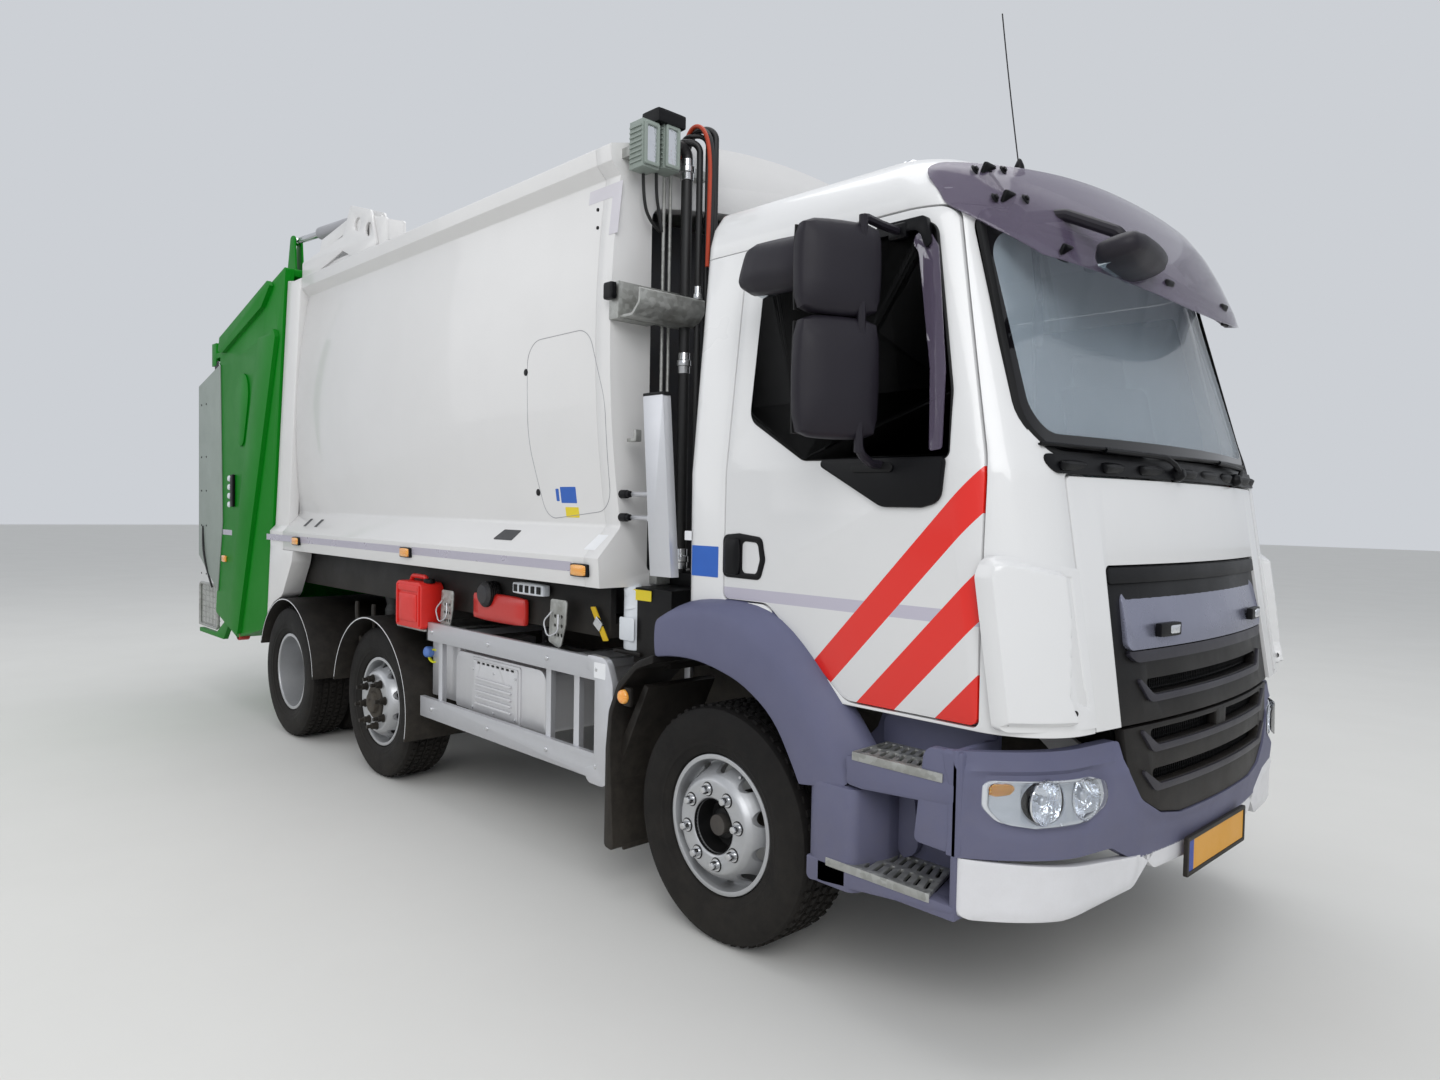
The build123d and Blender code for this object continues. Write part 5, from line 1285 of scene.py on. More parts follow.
def dress_screen_edge():
    """Windscreen rubber, black cowl with moulded wells, and two wipers."""
    outer = [(-950, 1794, 150), (950, 1794, 150), (897, 2579, 85), (-897, 2579, 85)]
    inner = [(-930, 1812, 140), (930, 1812, 140), (876, 2560, 78), (-876, 2560, 78)]
    on_cab = on_nose(CAB_FRONT)
    rubber = plate("screen_rubber", outer, "x", -10, 3, seal_rubber, holes=[inner], edge=3, bend=on_cab,
                   cut=40, steps=10)
    settle(rubber, "cab", "black_plastic")
    cowl = [(-905, 1802, 20), (905, 1802, 20), (870, 1744, 60), (-870, 1744, 60)]
    pieces = [plate("cowl_skin", cowl, "x", -6, 8, black_plastic, edge=3, bend=on_cab, cut=40)]
    for y, wide, deep in ((-760, 150, 8), (-560, 120, 12), (-330, 170, 9), (-60, 110, 12), (130, 140, 9),
                          (330, 100, 12), (620, 160, 9), (800, 90, 8)):
        pieces.append(housing("cowl_swell", nose_at(CAB_FRONT, y, 1768, 2), (2 * deep + 6, wide, 30),
                              black_plastic, (0, 20, 0), 6, crown=3))
    settle_all("cowl_set", pieces, "cab", "black_plastic")
    for name, tip, end, elbow, foot in (("right", (-895, 1828), (-330, 1820), (-267, 1816), (-165, 1762)),
                                        ("left", (-235, 1818), (700, 1826), (560, 1806), (456, 1762))):
        mid = ((tip[0] + end[0]) / 2, (tip[1] + end[1]) / 2)
        steps = [(tip[0] + (end[0] - tip[0]) * k / 10, tip[1] + (end[1] - tip[1]) * k / 10)
                 for k in range(11)]
        pieces = [tube("wiper_rubber", [nose_at(CAB_FRONT, y, z, 2) for y, z in steps], 4, hose_rubber,
                       sides=8),
                  tube("wiper_spine", [nose_at(CAB_FRONT, y, z + 2, 13) for y, z in steps], 7,
                       black_plastic, sides=8),
                  tube("wiper_bow", [nose_at(CAB_FRONT, y, z + 3, 12 + 16 * (1 - abs(2 * k / 8 - 1)))
                                     for k, (y, z) in enumerate([steps[1 + i] for i in range(9)])], 5,
                       black_plastic, sides=8),
                  tube("wiper_arm", [nose_at(CAB_FRONT, *foot, 24),
                                     nose_at(CAB_FRONT, (foot[0] + elbow[0]) / 2, 1796, 34),
                                     nose_at(CAB_FRONT, *elbow, 34),
                                     nose_at(CAB_FRONT, *mid, 26)], 9, black_plastic, corner=40),
                  lathe("wiper_spindle", soft_profile([(-6, 26), (22, 24), (36, 14), (36, 0)], 4),
                        nose_at(CAB_FRONT, *foot, 0), (1, 0, 0.2), black_plastic, 24)]
        settle_all("wiper_" + name, pieces, "cab", "black_plastic")


# The visor's middle section: (z, x)
VISOR = [(2310, 1276), (2420, 1238), (2520, 1192), (2620, 1138), (2700, 1080), (2745, 1030)]


def on_visor(p):
    """Bends a flat piece built round x = 0 onto the visor, which wraps back at its ends."""
    return (p.x + between(VISOR, p.z) - bow(p.y) - 170 * min(1.06, abs(p.y) / 900) ** 4, p.y, p.z)


def dress_visor():
    """Smoked acrylic visor on black arms, its bolts, the front mirror, roof lamps and the aerial."""
    low = [(y, 2318 + 130 * (y / 900) ** 2) for y in range(-780, 781, 120)]
    outline = [(-880, 2500, 90), *low, (880, 2500, 90), (946, 2580, 60), (946, 2738, 60), (-946, 2738, 60),
               (-946, 2580, 60)]
    visor = plate("visor_shield", outline, "x", -4, 1, smoked, edge=1.5, bend=on_visor, cut=26, cross=26)
    settle(visor, "cab", "smoked_plastic", "sun_visor")
    places = []
    for y, z in ((845, 2704), (760, 2712), (845, 2600), (760, 2604)):
        for sign in (1, -1):
            places.append((*on_visor(Vector((2, sign * y, z))), (1, 0, 0.5)))
    washer = stamp("visor_washer", [(0, 17), (3, 17), (5, 13), (5, 9), (10, 9), (12, 7), (12, 0)], 20)
    pieces = [repeated("visor_bolts", washer, places, black_plastic)]
    for sign in (1, -1):
        for y, z, foot in ((800, 2602, 2612), (800, 2706, 2660), (700, 2430, 2545), (250, 2380, 2560)):
            pieces.append(tube("visor_arm", [on_visor(Vector((-6, sign * y, z))),
                                             nose_at(CAB_FRONT, sign * (y - 14), foot, -4)], 12,
                               black_plastic, corner=20))
            pieces.append(housing("visor_pad", on_visor(Vector((-10, sign * y, z))), (16, 64, 52),
                                  black_plastic, (0, 25, 0), 8))
        pieces.append(tube("visor_rib", [on_visor(Vector((-10, sign * 800, 2602))),
                                         on_visor(Vector((-10, sign * 800, 2706)))], 9, black_plastic,
                           corner=20))
    settle_all("visor_fittings", pieces, "cab", "black_plastic")
    arm = [nose_at(CAB_FRONT, -700, 2570, -4),
           nose_at(CAB_FRONT, -660, 2560, 130), (1236, -640, 2480), (1258, -620, 2440)]
    mirror = [housing("front_mirror_shell", (1262, -590, 2408), (140, 480, 82), mirror_plastic,
                      (5, -12, 12), 40, crown=12),
              housing("front_mirror_face", (1254, -588, 2376), (104, 420, 8), mirror_face, (5, -12, 12), 3,
                      crown=3),
              tube("front_mirror_arm", arm, 19, mirror_plastic, corner=30, sides=14),
              housing("front_mirror_foot", nose_at(CAB_FRONT, -700, 2572, 4), (30, 170, 50),
                      mirror_plastic, (0, 20, 12), 12)]
    settle_all("front_mirror", mirror, "cab", "black_plastic")
    inside = [housing("inner_mirror_shell", (941, -560, 2250), (26, 64, 150), mirror_plastic, (0, 0, 20),
                      12, crown=4),
              tube("inner_mirror_stalk", [(945, -560, 2330), (930, -560, 2430), (918, -560, 2520)], 12,
                   mirror_plastic, corner=30)]
    settle_all("inner_mirror", inside, "cab", "black_plastic")
    aerial = [tube("aerial_whip", [(845, -550, 2815), (800, -550, 3100), (770, -550, 3330)], 2.2,
                   black_plastic, sides=6),
              lathe("aerial_base", soft_profile([(-14, 20), (14, 16), (34, 7), (40, 0)], 3),
                    (850, -550, 2782), (0, 0, 1), black_plastic, 24)]
    settle_all("aerial", aerial, "cab", "black_plastic")
    for sign, word in SIDES:
        low = [housing("roof_lamp_base", (540, sign * 800, 2772), (190, 70, 36), black_plastic, (0, -3, 0),
                       14, crown=4),
               housing("roof_lamp_lens", (575, sign * 800, 2790), (90, 50, 34), chrome_bowl, (0, -3, 0),
                       14, crown=5)]
        settle_all("roof_lamp_" + word, low, "cab", "black_plastic")


def dress_mirrors():
    """Door mirrors on a tubular arm: two crowned shells, their glass, and the kerb mirror behind."""
    for sign, word in SIDES:
        turn = 24 * sign
        along = Vector((-math.sin(math.radians(24)), sign * math.cos(math.radians(24)), 0))
        back = Vector((-math.cos(math.radians(24)), -sign * math.sin(math.radians(24)), 0))
        pieces = []
        for low, high in ((2222, 2492), (1848, 2202)):
            centre = Vector((670, sign * 1195, (low + high) / 2)) + along * 57.5
            pieces.append(housing("mirror_shell", centre, (80, 268, high - low), mirror_plastic,
                                  (0, 0, turn), 30, crown=10))
            pieces.append(housing("mirror_rim", centre + back * 36, (16, 262, high - low - 8), seal_rubber,
                                  (0, 0, turn), 8))
            pieces.append(housing("mirror_glass", centre + back * 42, (6, 240, high - low - 34),
                                  mirror_face, (0, 0, turn), 3))
        pieces.append(housing("kerb_mirror", (330, sign * 1172, 2432), (330, 104, 168), mirror_plastic,
                              (sign * 14, 4, sign * 6), 46, crown=10))
        pieces.append(housing("kerb_mirror_glass", (330, sign * 1176, 2358), (240, 60, 8), mirror_face,
                              (sign * 18, 0, sign * 10), 4, crown=4))
        pieces.append(tube("mirror_post", [(700, sign * 1195, 1800), (700, sign * 1195, 2520)], 14,
                           mirror_plastic, corner=20))
        pieces.append(tube("mirror_top_arm", [(700, sign * 1195, 2480), (700, sign * 1195, 2515),
                                              (690, sign * 1100, 2514), (690, sign * 975, 2512)], 14,
                           mirror_plastic, corner=40))
        pieces.append(tube("mirror_low_arm", [(700, sign * 1195, 1860), (702, sign * 1195, 1800),
                                              (700, sign * 1130, 1768), (692, sign * 1060, 1768)], 14,
                           mirror_plastic, corner=50))
        pieces.append(tube("kerb_arm", [(430, sign * 1155, 2400), (560, sign * 1175, 2400),
                                        (690, sign * 1195, 2400)], 13, mirror_plastic, corner=30))
        pieces.append(housing("arm_joint", (688, sign * 992, 2512), (70, 40, 52), black_plastic,
                              radius=10))
        settle_all("mirror_set_" + word, pieces, "door_" + word, "black_plastic", "mirror_" + word)


WINDOW = [(108, 2525, 40), (96, 1955, 70), (370, 1800, 70), (925, 1792, 25), (915, 2000, 200),
          (806, 2520, 60)]


def dress_doors():
    """Window rubbers, mirror foot panel, wind deflector, handle and blank stickers of both doors."""
    for sign, word in SIDES:
        lean = on_cab_side(sign)
        body = "door_" + word
        pieces = [plate("window_rubber", grown(WINDOW, 12), "y", -12, 3, seal_rubber,
                        holes=[grown(WINDOW, -9)], edge=3, bend=lean, steps=8),
                  plate("mirror_foot", [(396, 1792, 16), (930, 1790, 20), (918, 1652, 46), (850, 1634, 60),
                                        (700, 1634, 90)], "y", -2, 16, black_plastic, edge=7, bend=lean),
                  plate("mirror_foot_well", [(560, 1772, 14), (760, 1772, 14), (740, 1744, 12),
                                             (590, 1744, 12)], "y", 15, 21, seal_rubber, edge=3,
                        bend=lean),
                  plate("top_foot", [(600, 2545, 20), (790, 2545, 20), (828, 2440, 20), (800, 2440, 20),
                                     (770, 2505, 40), (600, 2505, 12)], "y", -2, 22, black_plastic, edge=6,
                        bend=lean)]
        pull = [(-22, 1368, 26), (-22, 1524, 26), (60, 1532, 20), (176, 1520, 26), (194, 1440, 40),
                (170, 1366, 26)]
        pieces.append(plate("handle_bezel", pull, "y", -6, 5, black_plastic, edge=4, bend=lean,
                            holes=[[(78, 1388, 18), (78, 1504, 18), (156, 1500, 20), (168, 1440, 30),
                                    (152, 1388, 18)]]))
        pieces.append(plate("handle_well", grown(pull, -14), "y", -24, -20, seal_rubber, bend=lean))
        pieces.append(housing("handle_grip", (32, sign * 1072, 1446), (74, 20, 130), black_plastic,
                              radius=9, crown=4))
        settle_all("door_trim_" + word, pieces, body, "black_plastic")
        deflector = plate("window_deflector_" + word, [(800, 2500, 40), (842, 2440, 30), (905, 2050, 200),
                                                       (915, 1812, 10), (872, 1806, 10), (850, 2060, 200),
                                                       (770, 2440, 60), (690, 2505, 30)], "y", 8, 13,
                          smoked, edge=1, bend=lean)
        settle(deflector, body, "smoked_plastic")
        marks = [plate("side_notice", box(-196, -49, 1362, 1478, 3), "y", 0, 0.7, sticker_blue, bend=lean),
                 plate("small_notice", box(-240, -200, 1496, 1532, 3), "y", 0, 0.7, sticker_white,
                       bend=lean)]
        settle_all("cab_notices_" + word, marks, "cab", "white_paint")
        places = [nose_at(CAB_FRONT, sign * y, z, 17) + ((1, sign * 0.5, 0.1),)
                  for y, z in ((1060, 1470), (1072, 1030), (905, 1052))]
        settle(repeated("vane_screws_" + word, dome_screw, places, black_plastic, 1.6), "cab",
               "black_plastic")


# Stations along the wheel arch, back to front: (x, z) of its lip, its crease and its crown
ARCH = [((-322, 1034), (-322, 1186), (-322, 1198)), ((-240, 1048), (-240, 1226), (-240, 1252)),
        ((-135, 1052), (-150, 1241), (-145, 1274)), ((-50, 1045), (-40, 1247), (-30, 1284)),
        ((40, 1026), (80, 1243), (90, 1285)), ((128, 1004), (200, 1200), (225, 1268)),
        ((205, 966), (310, 1128), (335, 1204)), ((274, 924), (400, 1062), (425, 1124)),
        ((330, 868), (455, 990), (485, 1062)), ((369, 806), (500, 925), (535, 1010)),
        ((400, 755), (556, 860), (590, 950)), ((427, 703), (640, 738), (662, 860))]


def arch_shell(sign, word):
    """The front wheel's moulded arch: a swept shell with a soft crown, smoothed by one subdivision."""
    work = bmesh.new()
    rows = []
    for low, crest, top in ARCH:
        low, crest, top = Vector(low), Vector(crest), Vector(top)
        section = [(low + Vector((4, 6)), 1010), (low + Vector((2, 2)), 1090), (low, 1132),
                   (low.lerp(crest, 0.06), 1141), (low.lerp(crest, 0.45), 1147),
                   (low.lerp(crest, 0.86), 1144), (crest, 1134), (crest.lerp(top, 0.5), 1112), (top, 1078),
                   (top.lerp(low, -0.02), 1040), (top, 1010)]
        rows.append([work.verts.new(spot(p.x, sign * y, p.y)) for p, y in section])
    for first, second in zip(rows, rows[1:]):
        for k in range(len(first)):
            work.faces.new((first[k - 1], second[k - 1], second[k], first[k]))
    for end in (rows[0], rows[-1]):
        work.faces.new(end)
    return smoothed(bevelled(closed_object(work, "wheel_arch_" + word, violet_plastic), 9, 2, 60))


def dress_steps():
    """Moulded arches and entry steps with two slotted alloy treads each side, and the arch's marker lamp."""
    for sign, word in SIDES:
        def block(name, corners, axis, low, high, edge=8, finish=violet_plastic):
            """A moulded block given by sizes on the left side, made on this side."""
            if axis == "y":
                return plate(name, corners, axis, *sorted((sign * low, sign * high)), finish, edge=edge)
            turned = [(c[0], sign * c[1], *c[2:]) for c in corners]
            return plate(name, turned if sign > 0 else turned[::-1], axis, low, high, finish, edge=edge)

        settle(arch_shell(sign, word), "cab", "grey_plastic", *shared("wheel_arches", sign))
        unit = [block("step_column", [(476, 1150, 70), (676, 1150, 40), (716, 1010, 50), (716, 925),
                                      (445, 925)], "z", 404, 742, 14),
                block("upper_nose", [(640, 849), (1048, 849), (1048, 772, 20), (700, 748, 30),
                                     (640, 752, 20)], "y", 1096, 1150, 14),
                block("upper_shelf", box(640, 1048, 1148, 925), "z", 800, 845, 6),
                block("back_wall", [(445, 420), (1048, 440), (1048, 1004), (640, 1004), (600, 900),
                                    (445, 742)], "y", 905, 930, 4),
                block("inner_bend", [(640, 846, 10), (1048, 846, 10), (1048, 985, 40), (640, 960, 40)],
                      "y", 925, 955, 12),
                block("lower_nose", [(486, 404, 20), (1048, 462, 14), (1048, 486, 6), (486, 486, 6)], "y",
                      1090, 1150, 12),
                block("lower_shelf", [(486, 1148), (1048, 1148), (1048, 925), (560, 925)], "z", 440, 484,
                      6),
                block("recess_rib", [(716, 500, 30), (800, 500, 60), (770, 740, 30), (716, 740, 10)], "y",
                      925, 960, 12),
                block("end_cheek", box(1030, 1050, 1149, 925), "z", 462, 940, 5)]
        settle_all("step_unit_" + word, unit, "chassis", "grey_plastic", *shared("cab_steps", sign))
        fender = [(-322, 1046, 6), (-430, 1004, 90), (-545, 905, 90), (-604, 780, 80), (-622, 620),
                  (-624, 210, 20), (-560, 200, 20), (-590, 620), (-580, 770, 70), (-528, 880, 80),
                  (-425, 975, 80), (-322, 1012, 6)]
        settle(block("rear_fender_" + word, fender, "y", 880, 1148, 5, black_plastic), "chassis",
               "black_plastic")
        for index, (z, row) in enumerate(((851, [(668, 1150), (1000, 1150), (925, 950), (660, 950)]),
                                          (487, [(570, 1150), (965, 1150), (900, 920), (582, 920)]))):
            slots = []
            (start, outer), (end, _), (back_end, inner), (back_start, _) = row
            for low, high in ((0.10, 0.44), (0.54, 0.88)):
                count = int((end - start) / 36)
                for k in range(count):
                    along = (k + 0.75) / (count + 0.4)
                    line = []
                    for share in (low, high):
                        left = start + (back_start - start) * share
                        right = end + (back_end - end) * share
                        line.append((left + (right - left) * along - 10 * (share - low) / 0.34,
                                     outer + (inner - outer) * share))
                    (x0, y0), (x1, y1) = line
                    slots.append([(x0 - 7, sign * y0, 5), (x1 - 7, sign * y1, 5), (x1 + 7, sign * y1, 5),
                                  (x0 + 7, sign * y0, 5)])
            outline = [(c[0], sign * c[1], 3) for c in row]
            tread = plate("tread", outline, "z", z + 1, z + 13, zinc, holes=slots, edge=1.2, steps=3)
            skirt = block("tread_edge", box(start, end, z - 14, z + 13, 3), "y", 1148, 1152, 1, zinc)
            dark = plate("tread_shadow", [(c[0], c[1] * 0.997) for c in outline], "z", z - 4, z - 2,
                         black_mesh_and_shade)
            settle_all(f"tread_{word}_{index}", [tread, skirt, dark], "chassis", "galvanised_steel")
        marker = [lathe("marker_lens", soft_profile([(0, 30), (12, 28), (20, 16), (22, 0)], 3),
                        (-511, sign * 1140, 851), (0.15, sign, 0), amber_lens, 28),
                  housing("marker_base", (-500, sign * 1128, 851), (50, 24, 80), black_plastic, radius=10)]
        settle_all("arch_marker_" + word, marker, "chassis", "lamp_plastic")


dress_grille()
dress_nose()
dress_headlamps()
dress_screen_edge()
dress_visor()
dress_mirrors()
dress_doors()
dress_steps()


# Inside the cab


def pad(name, centre, size, lean, crown, pinch, channels, radius):
    """A sewn foam pad: crowned faces, sides drawn in between the corners, stitched channels across."""
    work, placed = soft_block(size, 17, radius)
    turn = Matrix.Rotation(math.radians(lean), 3, "Y")
    thin = min(range(3), key=lambda i: size[i])
    for vert, unit, point in placed:
        for i in range(3):
            if abs(unit[i]) > 0.99:
                rise = crown if size[i] == min(size) else -pinch * 0.5
                point[i] += math.copysign(rise * bulge(unit, i, 4), unit[i])
        for axis, at in channels:
            if abs(unit[thin]) > 0.5:
                point[thin] -= math.copysign(9 * math.exp(-((point[axis] - at) / 7) ** 2), unit[thin])
        vert.co = spot(*(turn @ point + Vector(centre)))
    return smoothed(closed_object(work, name, seat_cloth))


def dress_seats():
    """Three seats of sewn pads on moulded stands."""
    for index, (y, width) in enumerate(((-600, 410), (-130, 410), (560, 470))):
        seams = ((1, -width * 0.27), (1, width * 0.27))
        parts = (("cushion", (242, y, 1402), (450, width - 8, 104), 0, seams),
                 ("backrest", (-22, y, 1700), (96, width - 14, 470), -9, seams),
                 ("headrest", (-78, y, 2002), (84, 250, 140), -9, ()))
        for word, centre, size, lean, channels in parts:
            piece = pad(f"{word}_{index}", centre, size, lean, 9, 8, channels, 24)
            settle(piece, "cab", "seat_fabric")
        stand = plate(f"seat_stand_{index}",
                      [(90, 1142 + 190 * (index == 1), 20), (390, 1142 + 190 * (index == 1), 20),
                       (380, 1345, 12), (100, 1345, 12)], "y", y - 110, y + 110, black_plastic, edge=6)
        settle(stand, "cab", "seat_fabric", *shared("seats", y))


dress_seats()


# Load body details


def on_body(sign):
    """Lays a piece built round y = 0 on the load body's right (-1) or left (1) side."""
    return lambda p: (p.x, sign * (side_y(p.z) + p.y), p.z)


def dress_body_sides():
    """Hatch seam drawn as a painted shade line, plugs, blank notices, reflective band, side marker lamps and
    repair tape.
    """
    for sign, word in SIDES:
        bend = on_body(sign)
        pieces = []
        hatch = [(-1283, 2368, 110), (-807, 2374, 110), (-700, 2062, 400), (-706, 1605, 110),
                 (-1203, 1556, 90), (-1300, 1920, 600)]
        track = [Vector((c[0], c[1])) for c in rounded(hatch, 8)]
        line = []
        for a, b in zip(track, track[1:] + track[:1]):
            count = max(1, int((b - a).length / 50))
            line += [a + (b - a) * k / count for k in range(count)]
        points = [(p.x, sign * (side_y(p.y) + 0.3), p.y) for p in line]
        # A thin grey tube along the hatch's edge: painted shade in its seam
        pieces.append(tube("hatch_seam", points, 1.6, grey_enamel_and_seam_shade, closed=True, sides=6))
        for x, z in ((-1300, 2232), (-1255, 1680)):
            pieces.append(lathe("hatch_plug", soft_profile([(-2, 17), (3, 16), (5, 9), (5, 0)], 2),
                                (x, sign * side_y(z), z), (0, sign, 0), seal_rubber, 20))
        for x0, x1, z0, z1, finish in ((-1075, -955, 1632, 1704, sticker_blue),
                                       (-1050, -948, 1568, 1614, sticker_yellow),
                                       (-1112, -1088, 1640, 1696, sticker_blue)):
            pieces.append(plate("blank_notice", box(x0, x1, z0, z1, 4), "y", 0, 0.8, finish, bend=bend))
        pieces.append(plate("skid_patch", [(-1572, 1452, 6), (-1400, 1452, 6), (-1378, 1500, 6),
                                           (-1530, 1500, 6)], "y", 0, 2, sticker_black, bend=bend))
        pieces.append(plate("white_patch", [(-800, 1436, 4), (-722, 1436, 4), (-700, 1500, 4),
                                            (-770, 1500, 4)], "y", 0, 1, sticker_white, bend=bend))
        for x in (-3840, -4030):
            pieces.append(plate("small_patch", [(x, 1450, 4), (x + 44, 1450, 4), (x + 60, 1500, 4),
                                                (x + 16, 1500, 4)], "y", 0, 1.5, sticker_black, bend=bend))
        tape = [(-868, 2966), (-640, 2966), (-640, 2748), (-700, 2748), (-700, 2908), (-868, 2908)]
        pieces.append(plate("tape_corner", tape, "y", 0, 0.8, grey_tape, bend=bend))
        settle_all("body_marks_" + word, pieces, "chassis", "white_paint")
        pillar = [(-4556, 1400, 10), (-4300, 1400, 30), (-4078, 3090, 60), (-4318, 3128, 10)]
        edge = plate("rear_pillar", pillar, "y", *sorted((sign * 1070, sign * 1134)), body_enamel, edge=5)
        settle(edge, "chassis", "white_paint")
        beam = [(-4245, 3120, 6), (-4245, 3250, 20), (-3560, 3300, 20), (-3440, 3470, 30),
                (-3140, 3380, 30), (-3050, 3150, 20), (-3420, 3150, 20), (-3560, 3210, 30),
                (-4120, 3120, 20)]
        eyes = [ring(x, z, 48, 12, 42) for x, z in ((-3330, 3330), (-3170, 3270))]
        carrier = [plate("lift_cheek", beam, "y", *sorted((sign * y, sign * (y + 14))), body_enamel,
                         holes=eyes, edge=2) for y in (966, 1050)]
        carrier.append(plate("lift_web", [(-3440, 3180, 10), (-3060, 3170, 10), (-3140, 3362, 10),
                                          (-3420, 3440, 10)], "y", *sorted((sign * 985, sign * 999)),
                             body_enamel, edge=2))
        settle_all("lift_carrier_" + word, carrier, "chassis", "white_paint")
        band = [plate("reflective_band", box(start, end, BAND_LOW, BAND_HIGH), "y", 0, 1.4, reflex_tape,
                      bend=bend) for start, end in ((-4035, -2480), (-2350, -850))]
        band.append(plate("reflective_tail", box(-4618, -4060, BAND_LOW, BAND_HIGH), "y", sign * 1170,
                          sign * 1171.4, reflex_tape))
        settle_all("reflective_band_" + word, band, "chassis", "white_paint")
        lamps = []
        for x in (-4041, -2415, -785):
            y = sign * (side_y(1348) if x > -4046 else 1170)
            lamps.append(housing("marker_body", (x, y + sign * 6, 1349), (122, 22, 56), chassis_paint,
                                 radius=7))
            lamps.append(housing("marker_glow", (x, y + sign * 14, 1349), (104, 16, 44), amber_lens,
                                 radius=6, crown=2))
        settle_all("side_markers_" + word, lamps, "chassis", "lamp_plastic")
    bolts = [(x, -1170, z, (0, -1, 0)) for x, z in ((-690, 2834), (-690, 2761))]
    settle(repeated("frame_screws", hex_bolt, bolts, black_plastic, 0.9), "chassis", "white_paint")


def dress_gap():
    """What stands in the gap behind the cab: work lamps, valve blocks, pipes, hoses and the plank."""
    gear = cad_copy("body_front_frame", body_enamel)
    for finish, low, high in ((zinc, (-655, -900, 1280), (-600, -800, 3120)),
                              (screen_coat, (-620, -1080, 2990), (-520, -870, 3210)),
                              (zinc, (-655, -1140, 2380), (-590, -740, 2550)),
                              (chassis_paint, (-670, -820, 1280), (-440, -630, 1345)),
                              (hose_rubber, (-612, -910, 1340), (-440, -680, 3260)),
                              (drawn_aluminium, (-662, -1125, 1345), (-250, -1025, 2065))):
        parts_in(gear, finish, low, high)
    bevelled(gear, 2)
    settle(gear, "chassis", "white_paint", "body_front_frame")
    pieces = []
    for y, z in ((-1032, 3095), (-922, 3110)):
        pieces.append(plate("lamp_frame", box(y - 38, y + 38, z - 86, z + 86, 8), "x", -526, -512,
                            screen_coat, edge=3, holes=[box(y - 26, y + 26, z - 72, z + 72, 6)]))
        pieces.append(plate("lamp_diodes", box(y - 26, y + 26, z - 72, z + 72), "x", -524, -521,
                            chrome_bowl))
        fins = [(-568, y - 44, z - 70 + 20 * k, (0, -1, 0)) for k in range(8)]
        fin = plate("cooling_fin", box(-AHEAD - 38, -AHEAD + 38, -3, 3), "z", -3, 5, screen_coat)
        unlink(fin)
        pieces.append(repeated("lamp_fins", fin, fins, screen_coat))
    pieces.append(housing("junction_box", (-560, -935, 3222), (110, 150, 56), chassis_paint, radius=6))
    settle_all("work_lamps", pieces, "chassis", "lamp_plastic")
    lines = [tube("arched_hose", [(-640, -760, 3090), (-600, -760, 3190), (-560, -756, 3232),
                                  (-500, -750, 3226), (-466, -745, 3140), (-470, -742, 2960),
                                  (-478, -742, 2700)], 13, hose_rubber, sides=12),
             tube("orange_line", [(-636, -775, 3100), (-600, -778, 3205), (-548, -780, 3250),
                                  (-486, -776, 3222), (-452, -770, 3120), (-455, -768, 2900),
                                  (-462, -768, 2640)], 9, orange_hose, sides=12),
             tube("grey_cable", [(-600, -1010, 3010), (-610, -1000, 2900), (-616, -960, 2820),
                                 (-620, -900, 2790)], 7, hose_rubber, sides=8),
             tube("second_cable", [(-600, -940, 3030), (-612, -930, 2940), (-618, -905, 2860),
                                   (-620, -890, 2790)], 7, hose_rubber, sides=8)]
    for y, z, r in ((-795, 3060, 30), (-795, 2240, 28), (-700, 2420, 20), (-734, 1420, 20),
                    (-795, 1400, 30), (-768, 2520, 18)):
        x = {-795: -570, -700: -495, -734: -507, -768: -519}[y]
        lines.append(lathe("hose_coupling",
                           soft_profile([(-46, r - 6), (-44, r), (-14, r), (-12, r + 5), (12, r + 5),
                                         (14, r), (44, r), (46, r - 6)], 2), (x, y, z), (0, 0, 1),
                           bare_bright, 12))
    settle_all("hydraulic_lines", lines, "chassis", "black_plastic")
    holder = [plate("bent_guard", [(-598, 2392, 6), (-520, 2392, 30), (-470, 2440, 30), (-470, 2500, 10),
                                   (-480, 2500, 6), (-482, 2444, 26), (-524, 2402, 26), (-598, 2402, 4)],
                    "y", -1120, -770, zinc, edge=2),
              housing("cable_cover", (-630, -1150, 2500), (60, 30, 70), black_plastic, radius=8),
              housing("plank_cap", (-380, -1100, 2066), (126, 44, 14), seal_rubber, radius=4),
              plate("clip", [(-620, 1890, 3), (-560, 1890, 8), (-560, 1940, 8), (-575, 1940, 3),
                             (-575, 1905, 6), (-620, 1905, 3)], "y", -1060, -1030, zinc, edge=1)]
    for z in (1576, 1673):
        holder.append(lathe("plank_knob", soft_profile([(0, 18), (40, 18), (44, 14), (60, 14), (60, 0)],
                                                       3), (-660, -1052, z), (1, 0, 0), black_plastic, 20))
    settle_all("gap_brackets", holder, "chassis", "galvanised_steel")


